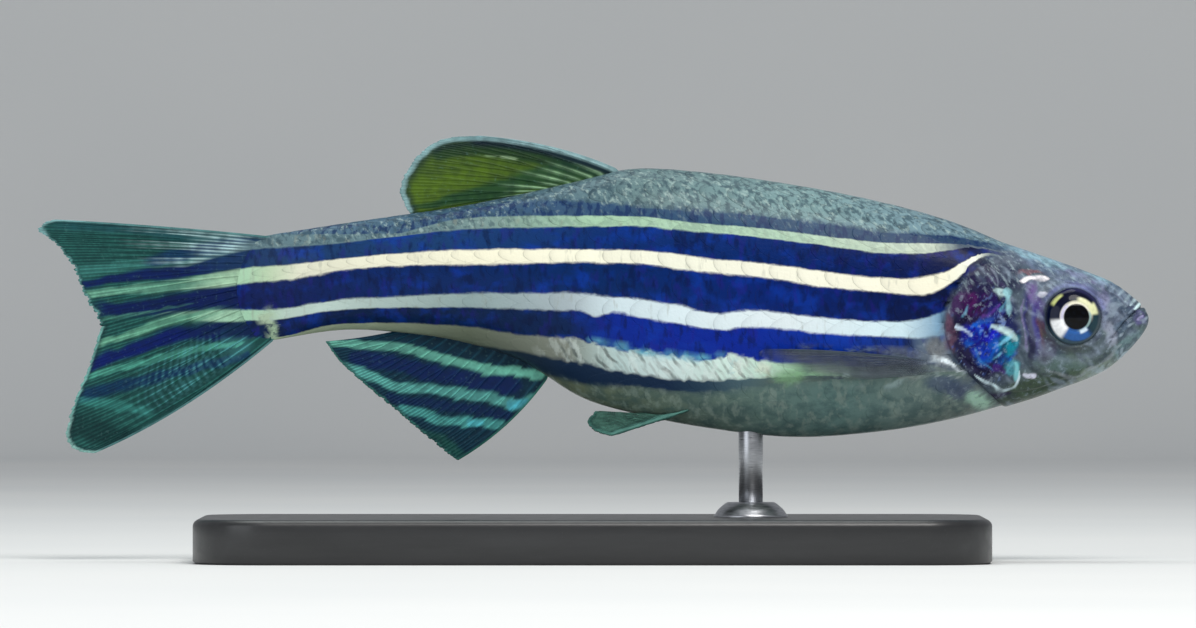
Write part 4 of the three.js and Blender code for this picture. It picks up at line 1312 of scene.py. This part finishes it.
TAIL_LOOK = {
    **PLAIN_LOOK,
    "web": (3, 34, 38),
    "ray": (60, 138, 128),
    "bands": (
        (((-12.0, 3.0), (-15.5, 3.3), (-18.5, 3.75), (-22.5, 3.9)), (0.3, 0.3), (34, 84, 92), 0.7),
        (((-13.6, 2.75), (-16.6, 2.5), (-18.4, 2.25), (-21.6, 1.9)), (0.2, 0.26), (76, 150, 142), 0.6),
        (((-13.4, 3.05), (-15.0, 2.92), (-16.6, 2.62), (-18.4, 2.3)), (0.36, 0.2), (10, 46, 92), 0.85),
        (((-13.4, 2.5), (-14.2, 2.42), (-15.4, 2.2), (-16.7, 1.9), (-18.7, 1.75), (-21.6, 1.25)), (0.36,
          0.14), (3, 24, 86), 0.95),
        (((-13.4, 1.76), (-14.2, 1.66), (-15.4, 1.56), (-17.0, 1.32), (-19.6, 1.1), (-21.4, 0.92)), (0.4,
          0.1), (126, 192, 162), 0.95),
        (((-13.4, 0.9), (-14.2, 0.82), (-15.4, 0.86), (-17.0, 0.62), (-18.6, 0.4), (-20.6, 0.3)), (0.44, 0.3),
         (2, 20, 80), 0.95),
        (((-16.2, 0.62), (-18.4, 0.2), (-21.0, -0.25)), (0.05, 0.09), (84, 150, 128), 0.7),
        (((-13.4, 0.13), (-14.2, 0.1), (-15.4, 0.14), (-17.0, -0.06), (-18.4, -0.55), (-20.9, -1.3)), (0.3,
          0.13), (124, 196, 162), 0.95),
        (((-13.4, -0.46), (-14.3, -0.5), (-15.4, -0.48), (-17.0, -0.7), (-18.4, -1.15), (-21.2, -2.2)),
         (0.3, 0.26), (3, 22, 96), 0.97),
        (((-14.2, -0.95), (-15.6, -1.1), (-17.0, -1.42), (-18.5, -1.84), (-21.2, -2.55)), (0.12, 0.14),
         (88, 176, 154), 0.9),
        (((-14.0, -1.5), (-17.6, -2.3), (-21.6, -3.25)), (0.2, 0.34), (4, 40, 84), 0.8),
        (((-21.6, -3.2), (-19.8, -3.35), (-17.6, -3.85)), (0.24, 0.2), (64, 150, 140), 0.7),
        (((-21.8, -4.0), (-17.6, -5.3)), (0.5, 0.5), (5, 42, 44), 0.7),
    ),
    "tips": (
        (((-21.25, -4.0), (-21.34, -4.8), (-20.95, -5.28), (-20.3, -5.42), (-19.2, -5.2)), (0.14, 0.06),
         (150, 196, 188), 0.9),
        (((-20.6, 4.0), (-21.9, 4.02), (-22.4, 3.75), (-22.2, 3.4)), (0.06, 0.12), (140, 188, 190), 0.8),
    ),
    "flesh_reach": 0.52,
    "fade_from": 0.86,
    "inner_rim": (4, 34, 40),
    "edge": (88, 136, 136),
}
UPPER_CAUDAL_LOOK = {
    **TAIL_LOOK,
    "root": (206, 244, 246),
    "root_reach": 0.66,
    "root_from": (0.15, 0.24),
    "root_cover": 0.95,
    "root_lines": 2,
    "root_width": 0.3,
    "rim": (104, 162, 158),
    "rim_width": 0.05,
}
LOWER_CAUDAL_LOOK = {
    **TAIL_LOOK,
    "flip": True,
    "dashes": (0.42, 0.95),
    "rim": (126, 186, 178),
    "rim_width": 0.08,
}
PELVIC_LOOK = {
    **PLAIN_LOOK,
    "web": (8, 46, 42),
    "ray": (120, 176, 158),
    "bands": (
        (((0.2, -4.55), (1.6, -4.4), (2.8, -4.2)), 0.12, (96, 150, 134), 0.6),
    ),
    "rim": (84, 140, 128),
    "rim_width": 0.05,
    "inner_rim": (10, 46, 46),
    "edge": (88, 140, 130),
    "web_cover": 0.55,
    "ray_cover": 0.95,
}
PECTORAL_LOOK = {
    **PLAIN_LOOK,
    "web": (58, 70, 84),
    "ray": (112, 114, 124),
    "bands": (),
    "rim": (120, 130, 128),
    "rim_width": 0.05,
    "inner_rim": (70, 80, 84),
    "edge": (62, 74, 86),
    "edge_shadow": 0.0,
    "web_cover": 0.36,
    "ray_cover": 0.6,
    "cover_shift": (1.65, 0.7),
    "base_cover": 0.0,
    "margin_fade": 0.85,
}


def outline_distance(line, x, z):
    """Distance of side-view points from a fin's edge."""
    return np.abs(beside(line[:: max(1, len(line) // 24)][:, [0, 2]], x, z)[0])


def band_amount(band, x, z, wave, fade_from):
    """Cover of a soft-edged band of varying width, thinning out after a share of its length."""
    points, width, _, strength = band
    away, along = beside(drawn(points, 24), x, z + wave)
    width = lerp(*width, along) if isinstance(width, tuple) else width
    width = width * (1 + 0.22 * ripple(x, z, 1.3, 21))
    fade = 1 - ease(fade_from, fade_from + 0.14, along)
    return strength * fade * (1 - ease(0.5, 1.35, np.abs(away) / width))


class Fin:
    """Points of a thin fin, u from its root to its margin and v from its first ray to its last.
    Its rays branch and are jointed, and its margin is scalloped."""

    def __init__(self, place, rays, rows, per_ray, ragged, seed):
        self.rays = rays
        self.seed = seed
        self.rng = np.random.default_rng(SEED + seed)
        self.size = (rows + 1, rays * per_ray + 1)
        u, v = np.meshgrid(*(np.linspace(0, 1, n) for n in self.size), indexing="ij")
        self.u, self.v = u, v
        self.ray = np.clip(np.floor(v * rays), 0, rays - 1).astype(int)
        self.off = v * rays - self.ray - 0.5
        first = 0.24 * ease(0.3, 0.62, u)
        second = 0.12 * ease(0.55, 0.9, u)
        to_branch = np.abs(np.abs(np.abs(self.off) - first) - second)
        self.raised = bell(to_branch, lerp(0.13, 0.055, ease(0, 0.6, u)))
        self.points = place(u * self.reach(ragged), v)
        spacing = np.linalg.norm(self.points[-1, 0] - self.points[0, 0]) / JOINT_LENGTH
        joints = 0.5 + 0.5 * np.cos(2 * math.pi * (u * spacing + self.by_ray(0, 1)))
        self.joints = lerp(1.0, joints, ease(0.2, 0.35, u))

    def by_ray(self, low, high):
        """A random value for each ray, at its points."""
        return self.rng.uniform(low, high, self.rays)[self.ray]

    def reach(self, ragged):
        """How far the points go toward the margin, which is cut back between the rays' tips."""
        tip = np.clip(np.floor(self.v * self.rays * 4), 0, self.rays * 4 - 1).astype(int)
        notch = np.abs(self.v * self.rays * 4 - tip - 0.5) * 2
        torn = self.rng.uniform(0, 1, self.rays * 4) ** 3
        reach = 1 - ragged * (0.35 * notch**2 + torn[tip] + 0.5 * (2 * np.abs(self.off)) ** 4)
        return lerp(1.0, reach, ease(0.6, 1.0, self.u))

    def both_faces(self, web, ridge):
        """Points of both faces, with the rays raised on the web."""
        u = self.u
        normal = unit(np.cross(np.gradient(self.points, axis=0), np.gradient(self.points, axis=1)))
        ribs = ridge * self.raised * lerp(1.0, 0.45, u) * lerp(1.0, self.joints, 0.35)
        half = lerp(2.2, 1.0, ease(0, 0.35, u)) * web + ribs
        to_margin = lerp(1.0, 0.6, ease(0.9, 1.0, u))
        half *= to_margin * lerp(0.3, 1.0, ease(0.9 * ROOT_SHARE, 3.0 * ROOT_SHARE, u))
        out = normal * half[..., None]
        return np.concatenate([(self.points + out).reshape(-1, 3), (self.points - out).reshape(-1, 3)])

    def paint(self, look):
        """Colours of the web, its rays and bands, its root and its rims."""
        x, z = self.points[..., 0], self.points[..., 2]
        wave = 0.05 * ripple(x, z, 2.5, self.seed) + 0.05 * (self.by_ray(-1, 1) + self.off)
        line = 0.3 + 0.7 * self.raised * lerp(0.6, 1.0, self.joints)
        colour = np.broadcast_to(linear_shade(look["web"]), self.points.shape)
        colour = lay(colour, line * 0.55, look["ray"])
        streaky = lerp(lerp(0.25, 1.0, line), 1.0, 1 - ease(0.12, 0.4, self.u))
        for band in look["bands"]:
            amount = band_amount(band, x, z, wave, look["fade_from"])
            bright = sum(band[2]) > BRIGHT_BAND
            colour = lay(colour, amount * (streaky if bright else 1.0), band[2])
        if "dashes" in look:
            colour = lay(colour, self.dashes(*look["dashes"]), DASH_COLOUR)
        colour = self.paint_root(colour, look, x, z)
        colour = self.paint_rims(colour, look, x, z)
        for band in look["tips"]:
            colour = lay(colour, band_amount(band, x, z, 0.4 * wave, 1.0) * lerp(0.6, 1.0, line), band[2])
        return colour

    def dashes(self, low, high):
        """Cover of bright dashes on the rays between two shares of the fin's width."""
        strip = ease(low - 0.1, low + 0.1, self.v) * (1 - ease(high - 0.1, high, self.v))
        strip = strip * ease(0.14, 0.2, self.u) * (1 - ease(0.5, 0.76, self.u))
        return 0.72 * strip * lerp(0.25, 1.0, self.raised) * ease(0.4, 0.8, self.joints)

    def paint_root(self, colour, look, x, z):
        """The body's stripes run out over the fin, and fine pale lines start at its root."""
        above_stripes = 1.0
        if "flesh_reach" in look:
            stripes, value = zone_colour(x, z)
            above_stripes = 1 - ease(1.8, 2.1, value)
            reach = look["flesh_reach"] * (1 + 0.3 * self.raised + 0.25 * self.by_ray(-1, 1))
            reach = reach * lerp(0.42, 1.0, ease(1.4, 2.2, value))
            share = (1 - ease(0.35, 1.0, self.u / reach)) * (1 - ease(6.7, 7.0, value))
            colour = lerp(colour, stripes, 0.95 * share[..., None])
        if "root" in look:
            near_root = 1 - ease(0.4, 1.0, self.u / (look["root_reach"] * self.by_ray(0.6, 1.2)))
            near_root = near_root * ease(*look["root_from"], self.u)
            fine = bell((self.off * look["root_lines"] + 0.5) % 1 - 0.5, look["root_width"])
            fine = np.clip(fine * (0.75 + 0.5 * ripple(x, z, 3.4, 31)), 0, 1)
            colour = lay(colour, look["root_cover"] * fine * near_root * above_stripes, look["root"])
        return colour

    def paint_rims(self, colour, look, x, z):
        """Pale rims along the margin and the leading ray, each with a shadow inside it."""
        leading = self.points[:, -1] if look["flip"] else self.points[:, 0]
        rims = (
            (outline_distance(self.points[-1], x, z), look["rim_width"], 0.6, look["rim"]),
            (outline_distance(leading, x, z), look["edge_width"], look["edge_shadow"], look["edge"]),
        )
        for away, width, shadow, _ in rims:
            colour = lay(colour, shadow * (1 - ease(width * 1.6, width * 3.2, away)), look["inner_rim"])
        for away, width, _, shade in rims:
            colour = lay(colour, 0.85 * (1 - ease(width * 0.7, width * 1.5, away)), shade)
        return colour

    def veil(self, look):
        """How far each point hides what lies behind it."""
        solid = np.maximum(self.raised, ease(0.7 / self.rays, 0.3 / self.rays, self.v))
        veil = lerp(look["web_cover"], look["ray_cover"], solid)
        veil = np.clip(veil * lerp(*look["cover_shift"], self.v), 0, 1)
        veil = veil * lerp(look["base_cover"], 1.0, ease(0.04, 0.24, self.u))
        return veil * (1 - look["margin_fade"] * ease(0.75, 1.0, self.u))


def build_fin(name, place, rays, rows, look, seed, web=0.05, ridge=0.07, per_ray=22, ragged=0.02):
    """A fin as a closed plate, painted on both faces."""
    fin = Fin(place, rays, rows, per_ray, ragged, seed)
    values = {
        "paint": np.tile(opaque(fin.paint(look)), (2, 1)),
        "raised": np.tile(fin.raised.ravel(), 2),
        "veil": np.tile(fin.veil(look).ravel(), 2),
    }
    flat = np.stack([0.02 + 0.96 * fin.u, 0.01 + 0.48 * fin.v], axis=-1).reshape(-1, 2)
    uv = np.concatenate([flat, flat + (0, 0.5)])
    return add_mesh(name, to_metres(fin.both_faces(web, ridge)), plate_faces(*fin.size), values, uv)


def fin_material(name, clear=False):
    """Thin painted web and rays. A clear fin is seen through between its rays."""
    tree = Tree(name, Coat_Weight=0.04, Coat_Roughness=0.25, Specular_IOR_Level=0.1)
    raised = tree.attribute("raised")
    cloud = tree.step(tree.noise(2.6, 3.0), 0.35, 0.7)
    fleck = tree.step(tree.noise(7.0, 2.0), 0.6, 0.76)
    colour = tree.lay(tree.colour("paint"), (6, 28, 36), cloud, 0.3)
    colour = tree.lay(colour, (110, 160, 158), fleck, 0.12)
    rough = tree.scaled(raised, -0.12, 0.48)
    if clear:
        tree.put(tree.attribute("veil"), tree.shader.inputs["Alpha"])
    return tree.finish(colour, rough, tree.bump(tree.noise(14.0, 2.0), 0.15, 0.03))


# Eyes


def build_eye(side, name, material, node):
    """Glass eye: a domed front with a raised pupil set a little forward in a painted iris."""
    rings, spokes = 56, 120
    radius, depth = EYE["radius"], EYE["depth"]
    r = np.linspace(0, 1, rings + 1)[1:]
    angle = np.arange(spokes) / spokes * 2 * math.pi
    grid_r, grid_a = np.meshgrid(r, angle, indexing="ij")
    dx = grid_r * radius * np.cos(grid_a)
    dz = grid_r * radius * np.sin(grid_a)
    away = np.hypot(dx - PUPIL["x"], dz)
    dome = depth * np.sqrt(np.maximum(1 - grid_r**2, 0))
    dome -= 0.05 * bell(away - (PUPIL["radius"] + 0.07), 0.06)
    centre = flank(np.array(EYE["x"]), np.array(EYE["z"])) - EYE["sunk"]
    front = np.stack([EYE["x"] + dx, side * (centre + dome), EYE["z"] + dz], axis=-1)
    middle = np.array([[EYE["x"], side * (centre + depth), EYE["z"]]])
    rear = np.array([[EYE["x"], side * (centre - 0.3), EYE["z"]]])
    points = np.concatenate([front.reshape(-1, 3), middle, rear])
    count = rings * spokes
    faces = [tuple(f) for f in grid_faces(rings, spokes, wrap=True)]
    spoke = np.arange(spokes)
    after = (spoke + 1) % spokes
    faces += [(a, count, b) for a, b in zip(spoke, after)]
    outer = (rings - 1) * spokes
    faces += [(outer + b, count + 1, outer + a) for a, b in zip(spoke, after)]
    if side < 0:
        faces = [f[::-1] for f in faces]
    ends = [linear_shade((2, 2, 4)), linear_shade((10, 14, 20))]
    paint = opaque(np.concatenate([eye_paint(dx, dz, away).reshape(-1, 3), ends]))
    flat = np.stack([0.5 + 0.45 * dx / radius, 0.5 + 0.45 * dz / radius], axis=-1).reshape(-1, 2)
    uv = np.concatenate([flat, [[0.5, 0.5]], [[0.5, 0.5]]])
    piece = add_mesh(name, to_metres(points), faces, {"paint": paint}, uv)
    return dress(piece, material, "eye", node)


def eye_paint(dx, dz, away):
    """Iris and pupil. Angles are measured at the pupil, 0 to the front and 90 up."""
    colour = np.broadcast_to(linear_shade((14, 34, 50)), (*dx.shape, 3))
    angle = np.degrees(np.arctan2(dz, dx - PUPIL["x"]))
    radius = np.hypot(dx, dz)

    def sector(middle, half):
        return 1 - ease(half * 0.7, half * 1.3, np.abs((angle - middle + 180) % 360 - 180))

    def ring(low, high):
        return ease(low - 0.04, low + 0.04, away) * (1 - ease(high - 0.05, high + 0.05, away))

    parts = (
        (sector(150, 45) * ring(0.62, 1.35), (5, 14, 42)),
        (sector(95, 55) * ring(0.74, 1.2), (8, 10, 34)),
        (sector(-90, 42) * ring(0.5, 0.98), (48, 98, 168)),
        (sector(-90, 60) * ring(0.98, 1.4), (64, 88, 104)),
        (sector(-5, 40) * ring(0.66, 1.0), (30, 58, 68)),
        (sector(100, 96) * ring(0.52, 0.66), (240, 236, 214)),
        (sector(165, 40) * ring(0.52, 0.65), (216, 212, 236)),
        (sector(-28, 50) * ring(0.52, 0.6), (158, 190, 188)),
        (sector(50, 34) * ring(0.6, 0.8), (240, 240, 196)),
        (sector(24, 16) * ring(0.62, 0.98), (232, 234, 184)),
        (sector(138, 15) * ring(1.0, 1.24), (198, 206, 134)),
        # white patch: the iris's own silvery colour, with a painted reflection of the light over it
        (sector(211, 23) * ring(0.52, 1.06), (250, 252, 254)),
        # painted highlight below and in front of the pupil
        (sector(-62, 14) * ring(0.54, 0.7), (214, 232, 246)),
        (ease(0.97, 1.1, radius) * sector(95, 100), (34, 34, 72)),
        (ease(1.0, 1.12, radius) * sector(-90, 105), (72, 86, 92)),
        (1 - ease(PUPIL["radius"] - 0.03, PUPIL["radius"] + 0.02, away), (1, 1, 2)),
    )
    for amount, shade in parts:
        colour = lay(colour, np.clip(amount, 0, 1), shade)
    return colour


def eye_material():
    tree = Tree("eye_glass", Coat_Weight=0.25, Coat_Roughness=0.02, Specular_IOR_Level=0.04)
    fibres = tree.step(tree.noise(8.0, 3.0), 0.4, 0.7)
    colour = tree.lay(tree.colour("paint"), (30, 40, 60), fibres, 0.12)
    return tree.finish(colour, tree.scaled(tree.noise(5.0), 0.1, 0.16))


# Stand

BASE = {"length": 32.0, "width": 17.0, "height": 1.8, "corner": 3.0, "round": 0.3}
ROD = {"x": 6.4, "radius": 0.5, "foot": 0.7, "into": 1.1}
COLLAR = {"radius": 1.5, "top": 1.05, "height": 0.6}


def lift_off(points):
    """Points of the stand, given from the floor up, in metres."""
    return np.array(points, float).reshape(-1, 3) * MM


def build_base(material):
    """Plinth with rounded corners and eased edges."""
    levels = [(0.0, 0.12), (0.12, 0.0)]
    for step in range(7):
        angle = step / 6 * math.pi / 2
        z = BASE["height"] - BASE["round"] * (1 - math.sin(angle))
        levels.append((z, BASE["round"] * (1 - math.cos(angle))))
    levels.append((BASE["height"], BASE["round"] + 0.4))
    corner_steps = 12
    rings = []
    for z, inset in levels:
        radius = BASE["corner"] - inset
        reach_x = BASE["length"] / 2 - inset - radius
        reach_y = BASE["width"] / 2 - inset - radius
        for quarter, (sx, sy) in enumerate(((1, 1), (-1, 1), (-1, -1), (1, -1))):
            for step in range(corner_steps + 1):
                angle = (quarter + step / corner_steps) * math.pi / 2
                x = sx * reach_x + radius * math.cos(angle)
                y = sy * reach_y + radius * math.sin(angle)
                rings.append((x, y, z))
    faces = tube_faces(len(levels), 4 * (corner_steps + 1))
    piece = add_mesh("plinth", lift_off(rings), faces)
    return dress(piece, material, "stand_base", "stand_base")


def build_turned(name, profile, material, slot, *nodes, sides=64):
    """A turned piece about the rod's line, from its radius and height along the outline."""
    angle = np.arange(sides) / sides * 2 * math.pi
    points = [(ROD["x"] + r * math.cos(a), r * math.sin(a), z) for r, z in profile for a in angle]
    piece = add_mesh(name, lift_off(points), tube_faces(len(profile), sides))
    return dress(piece, material, slot, *nodes)


def build_stand():
    """Plinth, collar and rod."""
    base = base_material()
    steel = rod_material()
    build_base(base)
    top = BASE["height"]
    collar = [(COLLAR["radius"], top - 0.05), (COLLAR["radius"], top + 0.06)]
    for step in range(6):
        t = step / 5
        radius = lerp(COLLAR["radius"] - 0.06, COLLAR["top"], t)
        collar.append((radius, top + 0.12 + (COLLAR["height"] - 0.18) * t**0.7))
    collar.append((COLLAR["top"] - 0.1, top + COLLAR["height"]))
    collar.append((ROD["radius"], top + COLLAR["height"]))
    build_turned("collar", collar, steel, "stand_rod")
    reach = JAW_LEVEL + float(belly_line(np.array(ROD["x"]))) + ROD["into"] - 0.02
    rod = [(ROD["radius"] - 0.02, ROD["foot"]), (ROD["radius"], reach - 0.1), (ROD["radius"] - 0.08, reach)]
    build_turned("rod", rod, steel, "stand_rod", "stand_rod")


def base_material():
    """Satin black lacquer over fine grain."""
    tree = Tree("plinth_lacquer", Coat_Weight=0.25, Coat_Roughness=0.2)
    grain = tree.noise(1.2, 5.0, (0.12, 1.0, 1.0), 0.6)
    colour = tree.ramp(grain, [(0.3, rgb(26, 27, 29)), (0.7, rgb(40, 41, 43))])
    speck = tree.step(tree.noise(12.0, 2.0), 0.62, 0.8)
    colour = tree.lay(colour, (90, 92, 96), speck, 0.15)
    rough = tree.scaled(tree.noise(2.5, 4.0), 0.22, 0.3)
    return tree.finish(colour, rough, tree.bump(grain, 0.12, 0.05))


def rod_material():
    """Brushed steel, with the brushing round the rod."""
    tree = Tree("rod_steel", Metallic=1.0)
    brush = tree.noise(6.0, 3.0, (0.4, 0.4, 6.0))
    colour = tree.ramp(brush, [(0.3, rgb(150, 153, 158)), (0.7, rgb(196, 198, 202))])
    rough = tree.scaled(brush, 0.25, 0.2)
    return tree.finish(colour, rough, tree.bump(brush, 0.1, 0.02))


# Room, light and camera


def build_room():
    """A plain pale floor that rises behind as one low, curved sheet."""
    half_width, front, back, radius = 1000.0, -700.0, 380.0, 60.0
    profile = [(front, 0.0), (back, 0.0)]
    for step in range(1, 25):
        angle = step / 24 * math.pi / 2
        profile.append((back + radius * math.sin(angle), radius * (1 - math.cos(angle))))
    points = [(side * half_width, y, z) for y, z in profile for side in (-1, 1)]
    floor = add_mesh("floor", lift_off(points), grid_faces(len(profile), 2))
    tree = Tree("floor_paper", Roughness=0.9)
    tone = tree.ramp(tree.noise(0.02, 2.0), [(0.3, rgb(226, 228, 228)), (0.7, rgb(232, 233, 232))])
    floor.data.materials.append(tree.finish(tone))


def add_light(name, place, target, size, power, colour):
    """A round, soft light turned to a target, with its place and size in millimetres."""
    data = bpy.data.lights.new(name, "AREA")
    data.shape = "DISK"
    data.size = size * MM
    data.energy = power
    data.color = colour
    light = bpy.data.objects.new(name, data)
    bpy.context.scene.collection.objects.link(light)
    light.location = Vector(place) * MM
    light.rotation_euler = (Vector(target) * MM - light.location).to_track_quat("-Z", "Y").to_euler()


def light_room():
    """Soft studio light from in front, from the side and from above, and a dim, even sky."""
    target = (0, 0, JAW_LEVEL)
    add_light("key", (60, -190, 230), target, 160, 0.56, (1.0, 0.98, 0.95))
    add_light("fill", (-200, -210, 60), target, 200, 0.16, (0.92, 0.96, 1.0))
    add_light("top", (-30, 40, 260), target, 180, 0.26, (0.95, 1.0, 0.98))
    world = bpy.data.worlds.new("soft_light")
    bpy.context.scene.world = world
    world.use_nodes = True
    background = world.node_tree.nodes["Background"]
    background.inputs["Color"].default_value = (0.92, 0.95, 1.0, 1)
    background.inputs["Strength"].default_value = 0.34


def set_camera():
    """Level camera square to the right flank, with the photo's frame."""
    data = bpy.data.cameras.new("camera")
    data.sensor_width = 36
    data.lens = 400
    data.clip_start = 0.01
    camera = bpy.data.objects.new("camera", data)
    bpy.context.scene.collection.objects.link(camera)
    away = data.lens / data.sensor_width * PHOTO_WIDTH / PIXELS_PER_MM
    x = (PHOTO_WIDTH / 2 - MIDDLE_COLUMN) / PIXELS_PER_MM
    z = (FLOOR_ROW - PHOTO_HEIGHT / 2) / PIXELS_PER_MM
    camera.location = Vector((x, -away, z)) * MM
    camera.rotation_euler = (math.pi / 2, 0, 0)
    bpy.context.scene.camera = camera


# Fins on the midline: name, surface, rays, rows, look, seed, raggedness, slot, node
MIDLINE_FINS = (
    ("dorsal_rays", dorsal_place, 9, 66, DORSAL_LOOK, 1, 0.01, "olive_fin", "dorsal_fin"),
    ("anal_rays", anal_place, 13, 64, ANAL_LOOK, 2, 0.012, "striped_fin", "anal_fin"),
    ("caudal_rays_upper", upper_lobe_place, 9, 90, UPPER_CAUDAL_LOOK, 3, 0.016, "striped_fin",
     "caudal_fin_upper"),
    ("caudal_rays_lower", lower_lobe_place, 9, 90, LOWER_CAUDAL_LOOK, 4, 0.01, "striped_fin",
     "caudal_fin_lower"),
)


def build_fish():
    """Skin, scales, eyes and fins."""
    skin = build_skin()
    dress(skin, flesh_material("danio_skin", False), "head_skin",
          "head", "lower_jaw", "gill_cover_right", "gill_cover_left", "trunk", "tail")
    scale_paint = flesh_material("danio_scales", True)
    build_scales(-1, "scales_right", scale_paint)
    build_scales(1, "scales_left", scale_paint)
    glass = eye_material()
    build_eye(-1, "glass_eye_right", glass, "eye_right")
    build_eye(1, "glass_eye_left", glass, "eye_left")

    membrane = fin_material("fin_membrane")
    for name, place, rays, rows, look, seed, ragged, slot, node in MIDLINE_FINS:
        fin = build_fin(name, place, rays, rows, look, seed, ragged=ragged)
        dress(fin, membrane, slot, node)
    clear = fin_material("clear_membrane", clear=True)
    for word, side in (("right", -1), ("left", 1)):
        pectoral = build_fin(f"pectoral_rays_{word}", pectoral_place(side), 10, 40, PECTORAL_LOOK, 5,
                             web=0.03, ridge=0.03, per_ray=8)
        dress(pectoral, clear, "clear_fin", f"pectoral_fin_{word}")
        pelvic = build_fin(f"pelvic_rays_{word}", pelvic_place(side), 7, 30, PELVIC_LOOK, 6, per_ray=8)
        dress(pelvic, clear, "striped_fin", f"pelvic_fin_{word}")


build_room()
light_room()
set_camera()
build_fish()
build_stand()
bpy.context.scene.view_settings.view_transform = "Standard"
